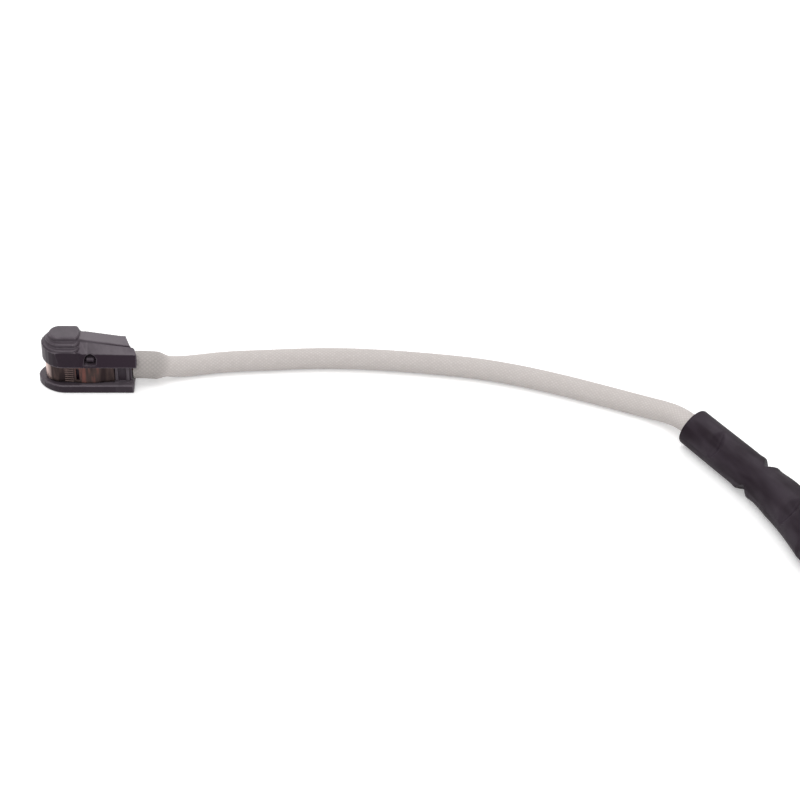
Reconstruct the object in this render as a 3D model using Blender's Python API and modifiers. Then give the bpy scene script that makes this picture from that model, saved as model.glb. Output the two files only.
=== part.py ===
"""Brake pad wear sensor: a clip-on plastic head, a braided sleeve, a rubber boot and a lead with its connector.

Metres, +Z up. The head stands on its flange with its nose towards -X, and its lead leaves towards +X.
The origin is on the floor, under the middle of the head's box.
"""

import math

import bmesh
import bpy
import numpy as np
from mathutils import Matrix, Vector

MM = 0.001
GAP = 0.3 * MM  # between pieces that touch

# Head: the base's flange, and the core that the backing plate slides round
HEAD_NOSE_X = -11.6 * MM
HEAD_HALF_WIDTH = 5.2 * MM
FLANGE_REAR_X = 10.65 * MM
FLANGE_NOSE_LENGTH = 6.1 * MM
FLANGE_NOSE_POWER = 1.7
FLANGE_THICKNESS = 2.2 * MM
FLANGE_CHAMFER = 0.2 * MM
SLOT_HEIGHT = 5.1 * MM
CORE_NOSE_X = -9.2 * MM
CORE_REAR_X = 10.2 * MM
CORE_HALF_WIDTH = 3.2 * MM
CORE_NOSE_LENGTH = 3.6 * MM
CORE_RIB_XS = (6.7 * MM, 9.25 * MM)
CORE_RIB_WIDTH = 0.7 * MM
CORE_RIB_HEIGHT = 0.5 * MM

# Head: the tongue inside the cover, and the trough for the wires
TONGUE_NOSE_X = -8.2 * MM
TONGUE_REAR_X = 7.0 * MM
TONGUE_HALF_WIDTH = 2.7 * MM
TONGUE_NOSE_LENGTH = 3.0 * MM
TONGUE_HEIGHT = 2.3 * MM
TROUGH_NOSE_X = -6.9 * MM
TROUGH_HALF_WIDTH = 1.85 * MM

# Head: the cover
COVER_NOSE_X = -10.6 * MM
COVER_REAR_X = 11.6 * MM
COVER_NOSE_LENGTH = 4.9 * MM
COVER_NOSE_POWER = 1.8
TIER_CHAMFER = 0.25 * MM

# Head: the cover's rear end in plan, as distance in front of its last point and place across. It is cut askew.
COVER_REAR_PLAN = [
    (0.0 * MM, -5.2 * MM),
    (0.0 * MM, -3.7 * MM),
    (0.65 * MM, -1.85 * MM),
    (1.6 * MM, -1.65 * MM),
    (2.8 * MM, 1.8 * MM),
    (3.1 * MM, 5.2 * MM),
]

# Head: the cover's back along its length, with heights above the slot's top.
# Each entry is x, the half width and height of the side's top edge, the spine's half width, the height where the
# shoulder meets the spine, and the spine's own height above that. The shoulders sweep up to the stepped nose.
BACK_STATIONS = [
    (-12.0 * MM, 4.85 * MM, 3.9 * MM, 1.2 * MM, 4.05 * MM, 0.1 * MM),
    (-9.0 * MM, 4.85 * MM, 4.0 * MM, 1.2 * MM, 4.15 * MM, 0.1 * MM),
    (-6.4 * MM, 4.85 * MM, 4.1 * MM, 1.2 * MM, 5.0 * MM, 0.9 * MM),
    (-2.4 * MM, 4.85 * MM, 4.1 * MM, 1.3 * MM, 5.0 * MM, 0.95 * MM),
    (-1.4 * MM, 4.2 * MM, 3.4 * MM, 1.57 * MM, 5.1 * MM, 0.62 * MM),
    (0.0 * MM, 3.72 * MM, 2.86 * MM, 1.75 * MM, 5.1 * MM, 0.4 * MM),
    (12.1 * MM, 3.6 * MM, 2.65 * MM, 1.75 * MM, 3.1 * MM, 0.38 * MM),
]
BACK_STEP = 1.6 * MM

# Head: the steps of the nose, from the lowest: nose x, rear x, half width, and height above the slot's top
NOSE_TIERS = [
    (-10.3 * MM, -1.2 * MM, 4.75 * MM, 4.5 * MM),
    (-9.45 * MM, -1.35 * MM, 3.6 * MM, 5.55 * MM),
    (-8.7 * MM, -1.6 * MM, 2.45 * MM, 6.7 * MM),
]
TIER_NOSE_SHARE = 0.94
TIER_NOSE_POWER = 1.95
TIER_REAR_SHARE = 0.4

# Head: the snap in each side, a nub on the tongue in an arched window of the cover
SNAP_X = 0.9 * MM
WINDOW_WIDTH = 2.7 * MM
WINDOW_SILL = 0.5 * MM
WINDOW_ARCH_HEIGHT = 1.0 * MM
NUB_HEIGHT = 1.1 * MM
NUB_REACH = 1.5 * MM

# Head: the spring clip
CLIP_THICKNESS = 0.4 * MM
CLIP_END_X = 6.2 * MM
CLIP_BOW = 0.55 * MM
CLIP_BOW_START_X = -5.4 * MM
CLIP_SLOT_XS = (-2.2 * MM,)
CLIP_SLOT_WIDTH = 0.8 * MM
CLIP_SLOT_MARGIN = 0.7 * MM

# Head: the wires
WIRE_Z = 4.46 * MM
WIRE_HALF_PITCH = 0.85 * MM
WIRE_DIAMETER = 1.4 * MM
LOOP_WIRE_DIAMETER = 0.7 * MM
LOOP_TOP_Z = 11.6 * MM
LOOP_X = -5.8 * MM
LOOP_BEND = 0.8 * MM
CRIMP_START_X = -0.8 * MM
CRIMP_LENGTH = 3.0 * MM
CRIMP_GROOVE = 0.12 * MM

# Braided sleeve: radii along its first stretch, and its route on the floor
SLEEVE_START_X = CORE_REAR_X + GAP
SLEEVE_RADIUS = 2.42 * MM
COLLAR_RADIUS = 3.2 * MM
COLLAR_LENGTH = 5.0 * MM
COLLAR_NECK_LENGTH = 3.2 * MM
SLEEVE_Z = 2.5 * MM

# Rubber boot
BOOT_MOUTH_RADIUS = 4.45 * MM
BOOT_BODY_RADIUS = 4.6 * MM
BOOT_FLARE_RADIUS = 5.1 * MM
BOOT_TAIL_RADIUS = 3.3 * MM
BOOT_LIP = 0.5 * MM
BOOT_FLARE_START = 26.0 * MM
BOOT_FLARE_END = 33.0 * MM
BOOT_TAIL_START = 48.0 * MM
BOOT_RECESS = 2.0 * MM
BOOT_RECESS_CLEARANCE = 0.5 * MM
BOOT_DENTS = ((12.8 * MM, 0), (24.5 * MM, 1), (40.0 * MM, 0))
BOOT_DENT_LENGTH = 2.2 * MM
BOOT_DENT_DEPTH = 1.0 * MM
BOOT_DENT_TILT = math.radians(38.0)
BOOT_RIB_PITCH = 3.2 * MM
BOOT_RIB_HEIGHT = 0.45 * MM

# Lead and its coil
LEAD_DIAMETER = 4.2 * MM
COIL_CENTRE = (200.2 * MM, -87.6 * MM)
COIL_MID_RADIUS = 24.0 * MM
COIL_LIFT = 0.9 * MM
TURN_PITCH = 4.4 * MM

# Tie round the coil
TIE_ANGLE = math.radians(285.0)
TIE_THICKNESS = 0.6 * MM
TIE_WIDTH = 5.0 * MM
TIE_HEAD = (6.0 * MM, 6.4 * MM, 2.6 * MM)

# Connector: it lies along -X, with its mouth at the low end
CONNECTOR_REAR = (206.6 * MM, -45.5 * MM)
CONNECTOR_WIDTH = 17.0 * MM
CONNECTOR_HEIGHT = 13.6 * MM
CONNECTOR_CORNER = 3.0 * MM
CAP_NECK_LENGTH = 6.0 * MM
CAP_NECK_RADIUS = 3.6 * MM
CAP_PLATE = 3.6 * MM
HOUSING_LENGTH = 25.0 * MM
SHROUD_DEPTH = 14.5 * MM
SHROUD_WALL = 1.3 * MM
WEB_THICKNESS = 6.6 * MM
SEAL_WALL = 1.6 * MM
FACE_SEAL_LENGTH = 2.0 * MM
FACE_SEAL_WALL = 1.1 * MM
PIN_DIAMETER = 1.5 * MM
PIN_HALF_PITCH = 2.5 * MM
PIN_REACH = 8.0 * MM
LOCK_SIZE = (1.8 * MM, 9.0 * MM, 4.4 * MM)
RAMP_SIZE = (5.0 * MM, 5.0 * MM, 1.3 * MM)
RAMP_START = 3.0 * MM
KEY_SIZE = (16.0 * MM, 1.0 * MM, 1.6 * MM)

# Heights that follow
SLOT_TOP_Z = FLANGE_THICKNESS + SLOT_HEIGHT
CORE_TOP_Z = SLOT_TOP_Z - GAP
TONGUE_TOP_Z = CORE_TOP_Z + TONGUE_HEIGHT
LEAD_RADIUS = LEAD_DIAMETER / 2
COIL_INNER_RADIUS = COIL_MID_RADIUS - TURN_PITCH / 2 - LEAD_RADIUS
COIL_OUTER_RADIUS = COIL_MID_RADIUS + TURN_PITCH / 2 + LEAD_RADIUS
COIL_HEIGHT = TURN_PITCH + LEAD_DIAMETER
CONNECTOR_Z = CONNECTOR_HEIGHT / 2

# Route of the sleeve's centre, chosen by hand: it drops from the head and lies in one long loose curve
SLEEVE_ROUTE = [
    (SLEEVE_START_X, 0.0, WIRE_Z),
    (14.1 * MM, 0.1 * MM, 4.3 * MM),
    (19.6 * MM, 1.2 * MM, 3.0 * MM),
    (29.3 * MM, 3.2 * MM, SLEEVE_Z),
    (40.4 * MM, 4.2 * MM, SLEEVE_Z),
    (48.8 * MM, 4.75 * MM, SLEEVE_Z),
    (58.1 * MM, 4.9 * MM, SLEEVE_Z),
    (68.4 * MM, 4.2 * MM, SLEEVE_Z),
    (79.6 * MM, 2.8 * MM, SLEEVE_Z),
    (90.7 * MM, 0.8 * MM, SLEEVE_Z),
    (101.7 * MM, -2.4 * MM, SLEEVE_Z),
    (112.6 * MM, -6.6 * MM, SLEEVE_Z),
    (123.4 * MM, -11.3 * MM, SLEEVE_Z),
    (129.6 * MM, -14.4 * MM, 2.8 * MM),
    (133.8 * MM, -17.6 * MM, 3.7 * MM),
    (136.7 * MM, -21.1 * MM, 4.4 * MM),
    (138.9 * MM, -24.2 * MM, 4.5 * MM),
]
BOOT_ROUTE = [
    (138.0 * MM, -22.9 * MM, 4.5 * MM),
    (143.6 * MM, -31.1 * MM, 4.6 * MM),
    (149.2 * MM, -39.3 * MM, 4.7 * MM),
    (152.9 * MM, -45.1 * MM, 4.85 * MM),
    (155.5 * MM, -49.6 * MM, 5.05 * MM),
    (158.8 * MM, -56.8 * MM, 5.15 * MM),
    (161.6 * MM, -64.7 * MM, 5.15 * MM),
    (164.2 * MM, -72.7 * MM, 4.7 * MM),
    (166.8 * MM, -80.6 * MM, 3.9 * MM),
]
LEAD_ROUTE = [
    (166.9 * MM, -80.9 * MM, 3.9 * MM),
    (167.9 * MM, -84.3 * MM, 3.6 * MM),
    (169.5 * MM, -88.5 * MM, 3.3 * MM),
]
TAIL_ROUTE = [
    (226.4 * MM, -72.1 * MM, 6.6 * MM),
    (226.2 * MM, -63.0 * MM, 5.4 * MM),
    (222.3 * MM, -53.4 * MM, 5.3 * MM),
    (214.8 * MM, -46.9 * MM, 6.1 * MM),
    (206.9 * MM, -45.5 * MM, CONNECTOR_Z),
]

for old in list(bpy.data.objects):
    bpy.data.objects.remove(old, do_unlink=True)

parts = bpy.data.collections.new("brake_pad_wear_sensor")
cutters = bpy.data.collections.new("cutters")
bpy.context.scene.collection.children.link(parts)
bpy.context.scene.collection.children.link(cutters)

AXES = {
    "x": Matrix(((0, 0, 1, 0), (1, 0, 0, 0), (0, 1, 0, 0), (0, 0, 0, 1))),
    "y": Matrix(((1, 0, 0, 0), (0, 0, -1, 0), (0, 1, 0, 0), (0, 0, 0, 1))),
    "z": Matrix.Identity(4),
}


def material(name, colour, roughness, metallic=0.0):
    """A plain Principled material."""
    made = bpy.data.materials.new(name)
    made.use_nodes = True
    shader = made.node_tree.nodes["Principled BSDF"]
    shader.inputs["Base Color"].default_value = (*colour, 1.0)
    shader.inputs["Roughness"].default_value = roughness
    shader.inputs["Metallic"].default_value = metallic
    return made


HEAD_PLASTIC = material("head_plastic", (0.035, 0.031, 0.037), 0.45)
SPRING_BRONZE = material("spring_bronze", (0.42, 0.24, 0.13), 0.3, 1.0)
COPPER = material("copper", (0.8, 0.42, 0.26), 0.3, 1.0)
TIN = material("tin", (0.72, 0.72, 0.7), 0.35, 1.0)
INSULATION = material("insulation", (0.5, 0.06, 0.05), 0.5)
BRAID = material("braid", (0.5, 0.47, 0.45), 0.75)
BOOT_RUBBER = material("boot_rubber", (0.045, 0.038, 0.044), 0.7)
LEAD_JACKET = material("lead_jacket", (0.03, 0.028, 0.03), 0.55)
CONNECTOR_PLASTIC = material("connector_plastic", (0.025, 0.025, 0.028), 0.45)
LOCK_PLASTIC = material("lock_plastic", (0.45, 0.43, 0.4), 0.5)
SEAL_RUBBER = material("seal_rubber", (0.35, 0.1, 0.05), 0.6)
TIE_PLASTIC = material("tie_plastic", (0.04, 0.04, 0.045), 0.5)


def add_object(name, data, surface=None, matrix=None):
    """Puts a part in the parts' collection, or a cutter, which has no surface, in the cutters'."""
    made = bpy.data.objects.new(name, data)
    if surface:
        data.materials.append(surface)
        parts.objects.link(made)
    else:
        cutters.objects.link(made)
        made.hide_render = True
        made.display_type = "WIRE"
    if matrix is not None:
        made.matrix_world = matrix
    return made


def mesh_from_curve(curve_object):
    """Replaces a curve object with its closed mesh, in the same place."""
    bpy.context.view_layer.update()
    shown = curve_object.evaluated_get(bpy.context.evaluated_depsgraph_get())
    mesh = bpy.data.meshes.new_from_object(shown)
    work = bmesh.new()
    work.from_mesh(mesh)
    bmesh.ops.remove_doubles(work, verts=work.verts, dist=0.001 * MM)
    bmesh.ops.dissolve_limit(
        work, angle_limit=math.radians(0.5), verts=work.verts, edges=work.edges
    )
    bmesh.ops.recalc_face_normals(work, faces=work.faces)
    work.to_mesh(mesh)
    work.free()
    made = bpy.data.objects.new(curve_object.name, mesh)
    for home in curve_object.users_collection:
        home.objects.link(made)
    made.matrix_world = curve_object.matrix_world
    made.hide_render = curve_object.hide_render
    made.display_type = curve_object.display_type
    name = curve_object.name
    bpy.data.objects.remove(curve_object, do_unlink=True)
    made.name = name
    mesh.shade_smooth()
    mesh.set_sharp_from_angle(angle=math.radians(30))
    return made


def prism(name, outlines, low, high, surface=None, axis="z", centre=(0.0, 0.0)):
    """A flat outline, with any holes after it, carried from low to high along an axis."""
    curve = bpy.data.curves.new(name, "CURVE")
    curve.dimensions = "2D"
    curve.fill_mode = "BOTH"
    curve.extrude = (high - low) / 2
    for outline in outlines:
        line = curve.splines.new("POLY")
        line.points.add(len(outline) - 1)
        for point, (x, y) in zip(line.points, outline):
            point.co = (x + centre[0], y + centre[1], 0.0, 1.0)
        line.use_cyclic_u = True
    side = -1.0 if axis == "y" else 1.0
    place = AXES[axis] @ Matrix.Translation((0.0, 0.0, side * (low + high) / 2))
    return mesh_from_curve(add_object(name, curve, surface, place))


def boolean(target, other, operation):
    step = target.modifiers.new(other.name, "BOOLEAN")
    step.operation = operation
    step.object = other
    step.solver = "EXACT"


def bevel(target, width, segments=1, angle=35.0):
    step = target.modifiers.new("edges", "BEVEL")
    step.width = width
    step.segments = segments
    step.limit_method = "ANGLE"
    step.angle_limit = math.radians(angle)


def end_curve(length, half_width, power=2.2, steps=7):
    """Half a superellipse that bulges towards +X, from -half_width to +half_width."""
    turn = np.linspace(-math.pi / 2, math.pi / 2, 2 * steps + 1)
    x = length * np.abs(np.cos(turn)) ** (2 / power)
    y = half_width * np.sign(np.sin(turn)) * np.abs(np.sin(turn)) ** (2 / power)
    return np.c_[x, y]


def tongue_outline(
    nose_x, rear_x, half_width, nose_length, rear_length=0.0, power=2.2
):
    """A long outline with a round nose at -X, and a round or square rear end."""
    nose = end_curve(nose_length, half_width, power) * (-1, -1)
    nose += (nose_x + nose_length, 0)
    if rear_length:
        rear = end_curve(rear_length, half_width) + (rear_x - rear_length, 0)
    else:
        rear = np.array([(rear_x, -half_width), (rear_x, half_width)])
    return np.r_[nose, rear]


def rounded_rectangle(width, height, corner, steps=4):
    """A rectangle about the origin with round corners."""
    turn = np.linspace(0.0, math.pi / 2, steps + 1)
    arc = corner * np.c_[np.cos(turn), np.sin(turn)]
    reach = np.array((width / 2 - corner, height / 2 - corner))
    quarters = []
    for quarter in range(4):
        angle = quarter * math.pi / 2
        spin = np.array(
            [(math.cos(angle), math.sin(angle)), (-math.sin(angle), math.cos(angle))]
        )
        sign = np.sign(np.array((1.0, 1.0)) @ spin)
        quarters.append(arc @ spin + sign * reach)
    return np.concatenate(quarters)


def box_cutter(name, low, high, matrix=None):
    """A box between two corners, as a cutter or a piece to join."""
    mesh = bpy.data.meshes.new(name)
    work = bmesh.new()
    bmesh.ops.create_cube(work, size=1.0)
    low, high = Vector(low), Vector(high)
    size = high - low
    for vertex in work.verts:
        vertex.co = Vector(
            [low[i] + size[i] * (vertex.co[i] + 0.5) for i in range(3)]
        )
    work.to_mesh(mesh)
    work.free()
    return add_object(name, mesh, None, matrix)


def rod(name, radius, low, high, segments, surface=None, matrix=None):
    """A round rod along its own Z, from low to high."""
    mesh = bpy.data.meshes.new(name)
    work = bmesh.new()
    bmesh.ops.create_cone(
        work,
        cap_ends=True,
        segments=segments,
        radius1=radius,
        radius2=radius,
        depth=high - low,
    )
    bmesh.ops.translate(work, vec=(0, 0, (low + high) / 2), verts=work.verts)
    work.to_mesh(mesh)
    work.free()
    return add_object(name, mesh, surface, matrix)


def turned(name, profile, segments, surface=None, matrix=None, closed=False):
    """A profile of (radius, height) points, listed down its outer side, turned about Z."""
    mesh = bpy.data.meshes.new(name)
    points = [(radius, 0.0, height) for radius, height in profile]
    edges = [(i, i + 1) for i in range(len(points) - 1)]
    if closed:
        edges.append((len(points) - 1, 0))
    mesh.from_pydata(points, edges, [])
    made = add_object(name, mesh, surface, matrix)
    screw = made.modifiers.new("turn", "SCREW")
    screw.axis = "Z"
    screw.angle = 2 * math.pi
    screw.steps = segments
    screw.render_steps = segments
    screw.use_merge_vertices = True
    screw.merge_threshold = 0.001 * MM
    return made


def along_x(x, y, z):
    """A place whose own Z runs towards +X."""
    return Matrix.Translation((x, y, z)) @ AXES["x"]


def smooth_path(route, spacing):
    """Points at about equal spacing on the natural cubic spline through a route."""
    knots = np.array(route)
    steps = np.linalg.norm(np.diff(knots, axis=0), axis=1)
    at = np.r_[0.0, np.cumsum(steps)]
    count = len(knots)
    system = np.eye(count)
    right = np.zeros_like(knots)
    for i in range(1, count - 1):
        system[i, i - 1 : i + 2] = steps[i - 1], 2 * (steps[i - 1] + steps[i]), steps[i]
        slope_in = (knots[i] - knots[i - 1]) / steps[i - 1]
        slope_out = (knots[i + 1] - knots[i]) / steps[i]
        right[i] = 6 * (slope_out - slope_in)
    bend = np.linalg.solve(system, right)
    fine = np.linspace(0.0, at[-1], 40 * count)
    span = np.clip(np.searchsorted(at, fine, side="right") - 1, 0, count - 2)
    width = steps[span][:, None]
    before = (fine - at[span])[:, None]
    after = width - before
    line = (
        bend[span] * after**3 / (6 * width)
        + bend[span + 1] * before**3 / (6 * width)
        + (knots[span] / width - bend[span] * width / 6) * after
        + (knots[span + 1] / width - bend[span + 1] * width / 6) * before
    )
    run = np.r_[0.0, np.cumsum(np.linalg.norm(np.diff(line, axis=0), axis=1))]
    wanted = np.linspace(0.0, run[-1], max(2, round(run[-1] / spacing) + 1))
    return np.stack([np.interp(wanted, run, line[:, i]) for i in range(3)], axis=1)


def tube(name, points, radii, resolution, surface):
    """A round tube with filled caps along points, with one radius or one for each point."""
    radii = np.broadcast_to(radii, len(points))
    curve = bpy.data.curves.new(name, "CURVE")
    curve.dimensions = "3D"
    curve.bevel_depth = radii.max()
    curve.bevel_resolution = resolution
    curve.use_fill_caps = True
    line = curve.splines.new("POLY")
    line.points.add(len(points) - 1)
    for point, place, radius in zip(line.points, points, radii):
        point.co = (*place, 1.0)
        point.radius = radius / radii.max()
    return add_object(name, curve, surface)


def make_base():
    """Flange, core, ribs, tongue and snap nubs in one moulding, with a trough for the wires."""
    flange_outline = tongue_outline(
        HEAD_NOSE_X,
        FLANGE_REAR_X,
        HEAD_HALF_WIDTH,
        FLANGE_NOSE_LENGTH,
        power=FLANGE_NOSE_POWER,
    )
    base = prism("sensor_base", [flange_outline], 0.0, FLANGE_THICKNESS, HEAD_PLASTIC)
    bevel(base, FLANGE_CHAMFER)
    core_outline = tongue_outline(
        CORE_NOSE_X, CORE_REAR_X, CORE_HALF_WIDTH, CORE_NOSE_LENGTH
    )
    core = prism("core", [core_outline], FLANGE_THICKNESS / 2, CORE_TOP_Z)
    boolean(base, core, "UNION")
    for i, x in enumerate(CORE_RIB_XS):
        reach = CORE_HALF_WIDTH + CORE_RIB_HEIGHT
        rib = box_cutter(
            f"core_rib_{i}",
            (x - CORE_RIB_WIDTH / 2, -reach, FLANGE_THICKNESS / 2),
            (x + CORE_RIB_WIDTH / 2, reach, CORE_TOP_Z),
        )
        boolean(base, rib, "UNION")
    tongue = prism("tongue", [tongue_plan(0.0)], CORE_TOP_Z - GAP, TONGUE_TOP_Z)
    boolean(base, tongue, "UNION")
    nub_half = WINDOW_WIDTH / 2 - GAP
    nub_low = SLOT_TOP_Z + WINDOW_SILL + GAP
    nub_reach = TONGUE_HALF_WIDTH + NUB_REACH
    nub = box_cutter(
        "snap_nubs",
        (SNAP_X - nub_half, -nub_reach, nub_low),
        (SNAP_X + nub_half, nub_reach, nub_low + NUB_HEIGHT),
    )
    bevel(nub, 0.3 * MM)
    boolean(base, nub, "UNION")
    trough_floor = WIRE_Z - WIRE_DIAMETER / 2 - GAP
    trough = box_cutter(
        "wire_trough",
        (TROUGH_NOSE_X, -TROUGH_HALF_WIDTH, trough_floor),
        (CORE_REAR_X + 1 * MM, TROUGH_HALF_WIDTH, TONGUE_TOP_Z + 1 * MM),
    )
    boolean(base, trough, "DIFFERENCE")
    boolean(base, collar_seat(), "DIFFERENCE")
    return base


def tongue_plan(clearance):
    """The tongue's outline, or the pocket's round it."""
    return tongue_outline(
        TONGUE_NOSE_X - clearance,
        TONGUE_REAR_X + clearance,
        TONGUE_HALF_WIDTH + clearance,
        TONGUE_NOSE_LENGTH + clearance,
    )


def collar_seat():
    """The round space that the sleeve's collar takes out of the flange and the cover."""
    length = COVER_REAR_X - CORE_REAR_X + 2 * MM
    seat = along_x(CORE_REAR_X, 0.0, WIRE_Z)
    return rod("collar_seat", COLLAR_RADIUS + GAP, 0.0, length, 24, None, seat)


def make_back():
    """The cover's block, lofted along X: drafted sides, two shoulders and the spine between them."""
    half = HEAD_HALF_WIDTH
    stations = []
    for start, end in zip(BACK_STATIONS, BACK_STATIONS[1:]):
        count = max(1, round((end[0] - start[0]) / BACK_STEP))
        stations.extend(np.linspace(start, end, count, endpoint=False))
    stations.append(BACK_STATIONS[-1])
    work = bmesh.new()
    rings = []
    for x, side_half, side, spine_half, ridge, spine_height in stations:
        near_side = [
            (half, 0.0),
            (side_half, side),
            (spine_half, ridge),
            (spine_half, ridge + spine_height),
        ]
        section = near_side + [(-y, z) for y, z in reversed(near_side)]
        rings.append([work.verts.new((x, y, SLOT_TOP_Z + z)) for y, z in section])
    for low, high in zip(rings, rings[1:]):
        for k in range(len(low)):
            m = (k + 1) % len(low)
            work.faces.new((low[k], low[m], high[m], high[k]))
    work.faces.new(list(reversed(rings[0])))
    work.faces.new(rings[-1])
    bmesh.ops.recalc_face_normals(work, faces=work.faces)
    mesh = bpy.data.meshes.new("sensor_cover")
    work.to_mesh(mesh)
    work.free()
    return add_object("sensor_cover", mesh, HEAD_PLASTIC)


def cover_plan():
    """The cover's outline from above: a round nose, straight sides and the askew rear end."""
    nose = end_curve(COVER_NOSE_LENGTH, HEAD_HALF_WIDTH, COVER_NOSE_POWER) * (-1, -1)
    rear = [(COVER_REAR_X - back, y) for back, y in COVER_REAR_PLAN]
    return np.r_[nose + (COVER_NOSE_X + COVER_NOSE_LENGTH, 0), rear]


def make_cover():
    """The back cut to its plan, with the stepped round nose, pocket, windows and cavity."""
    cover = make_back()
    trim = prism("cover_plan", [cover_plan()], 0.0, SLOT_TOP_Z + 10 * MM)
    boolean(cover, trim, "INTERSECT")
    for i, (nose_x, rear_x, half, height) in enumerate(NOSE_TIERS):
        outline = tongue_outline(
            nose_x,
            rear_x,
            half,
            half * TIER_NOSE_SHARE,
            half * TIER_REAR_SHARE,
            TIER_NOSE_POWER,
        )
        tier = prism(f"nose_tier_{i}", [outline], SLOT_TOP_Z, SLOT_TOP_Z + height)
        bevel(tier, TIER_CHAMFER, angle=60.0)
        boolean(cover, tier, "UNION")
    pocket = prism(
        "tongue_pocket", [tongue_plan(GAP)], SLOT_TOP_Z - 1 * MM, TONGUE_TOP_Z + GAP
    )
    boolean(cover, pocket, "DIFFERENCE")
    cavity = box_cutter(
        "loop_cavity",
        (LOOP_X - 1.1 * MM, -TROUGH_HALF_WIDTH, SLOT_TOP_Z),
        (LOOP_X + 1.1 * MM, TROUGH_HALF_WIDTH, LOOP_TOP_Z + LOOP_WIRE_DIAMETER),
    )
    boolean(cover, cavity, "DIFFERENCE")
    for side in (-1, 1):
        boolean(cover, make_window(side), "DIFFERENCE")
    boolean(cover, collar_seat(), "DIFFERENCE")
    return cover


def make_window(side):
    """The arched hole in one side of the cover that the snap nub sits in."""
    sill = SLOT_TOP_Z + WINDOW_SILL
    spring = sill + WINDOW_ARCH_HEIGHT
    half = WINDOW_WIDTH / 2
    turn = np.linspace(0.0, math.pi, 9)
    arch = np.c_[SNAP_X + half * np.cos(turn), spring + half * np.sin(turn)]
    outline = np.r_[[(SNAP_X - half, sill), (SNAP_X + half, sill)], arch]
    inner = TONGUE_HALF_WIDTH - GAP
    outer = HEAD_HALF_WIDTH + 1 * MM
    low, high = (inner, outer) if side > 0 else (-outer, -inner)
    name = "snap_window_" + ("far" if side > 0 else "near")
    return prism(name, [outline], low, high, axis="y")


def make_clip():
    """Spring strip round the core's nose, with arms that bow out to grip the backing plate."""
    offset = GAP + CLIP_THICKNESS / 2
    half = CORE_HALF_WIDTH + offset
    nose_length = CORE_NOSE_LENGTH + offset
    nose_x = CORE_NOSE_X - offset
    arm_x = np.linspace(CLIP_END_X, CLIP_BOW_START_X, 12)
    share = (CLIP_END_X - arm_x) / (CLIP_END_X - CLIP_BOW_START_X)
    arm_y = half + CLIP_BOW * np.sin(math.pi * share) ** 2
    far_arm = np.c_[arm_x, arm_y]
    nose = end_curve(nose_length, half, steps=7) * (-1, -1) + (nose_x + nose_length, 0)
    near_arm = far_arm[::-1] * (1, -1)
    line = np.r_[far_arm, nose, near_arm]
    low = FLANGE_THICKNESS + GAP
    high = SLOT_TOP_Z - GAP
    count = len(line)
    points = [(x, y, z) for z in (low, high) for x, y in line]
    faces = [(i, i + 1, i + 1 + count, i + count) for i in range(count - 1)]
    mesh = bpy.data.meshes.new("retaining_clip")
    mesh.from_pydata(points, [], faces)
    clip = add_object("retaining_clip", mesh, SPRING_BRONZE)
    wall = clip.modifiers.new("thickness", "SOLIDIFY")
    wall.thickness = CLIP_THICKNESS
    wall.offset = 0.0
    wall.use_even_offset = True
    for i, x in enumerate(CLIP_SLOT_XS):
        slot = box_cutter(
            f"clip_slot_{i}",
            (x - CLIP_SLOT_WIDTH / 2, -HEAD_HALF_WIDTH, low + CLIP_SLOT_MARGIN),
            (x + CLIP_SLOT_WIDTH / 2, HEAD_HALF_WIDTH, high - CLIP_SLOT_MARGIN),
        )
        boolean(clip, slot, "DIFFERENCE")
    return clip


def make_wires():
    """Bare loop in the nose, two crimp ferrules and the two insulated cores."""
    crimp_end_x = CRIMP_START_X + CRIMP_LENGTH
    loop_start_x = CRIMP_START_X - GAP
    side = WIRE_HALF_PITCH
    loop_route = [
        (loop_start_x, side, WIRE_Z),
        (LOOP_X + LOOP_BEND, side, WIRE_Z),
        (LOOP_X, side, WIRE_Z + LOOP_BEND),
        (LOOP_X, side, LOOP_TOP_Z - LOOP_BEND / 2),
        (LOOP_X, side - LOOP_BEND / 2, LOOP_TOP_Z),
    ]
    other_half = [(x, -y, z) for x, y, z in reversed(loop_route)]
    tube("wear_loop", loop_route + other_half, LOOP_WIRE_DIAMETER / 2, 2, COPPER)
    radius = WIRE_DIAMETER / 2
    waist = radius - CRIMP_GROOVE
    profile = [(0.0, CRIMP_LENGTH), (radius, CRIMP_LENGTH)]
    for i in range(2, 0, -1):
        middle = CRIMP_LENGTH * i / 3
        for height, width in ((0.45, radius), (0.2, waist), (-0.2, waist), (-0.45, radius)):
            profile.append((width, middle + height * MM))
    profile += [(radius, 0.0), (0.0, 0.0)]
    tail_start_x = crimp_end_x + GAP
    tail_x = np.linspace(tail_start_x, CORE_REAR_X, 5)
    for letter, sign in (("a", 1), ("b", -1)):
        place = along_x(CRIMP_START_X, sign * side, WIRE_Z)
        turned(f"crimp_{letter}", profile, 16, TIN, place)
        points = [(x, sign * side, WIRE_Z) for x in tail_x]
        tube(f"wire_tail_{letter}", points, radius, 3, INSULATION)


def make_sleeve():
    """Braided sleeve: a thick collar at the head that necks down to the plain sleeve."""
    points = smooth_path(SLEEVE_ROUTE, 2.4 * MM)
    run = np.r_[0.0, np.cumsum(np.linalg.norm(np.diff(points, axis=0), axis=1))]
    share = np.clip((run - COLLAR_LENGTH) / COLLAR_NECK_LENGTH, 0.0, 1.0)
    ease = share * share * (3 - 2 * share)
    radii = COLLAR_RADIUS + (SLEEVE_RADIUS - COLLAR_RADIUS) * ease
    return tube("braided_sleeve", points, radii, 4, BRAID)


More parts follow.
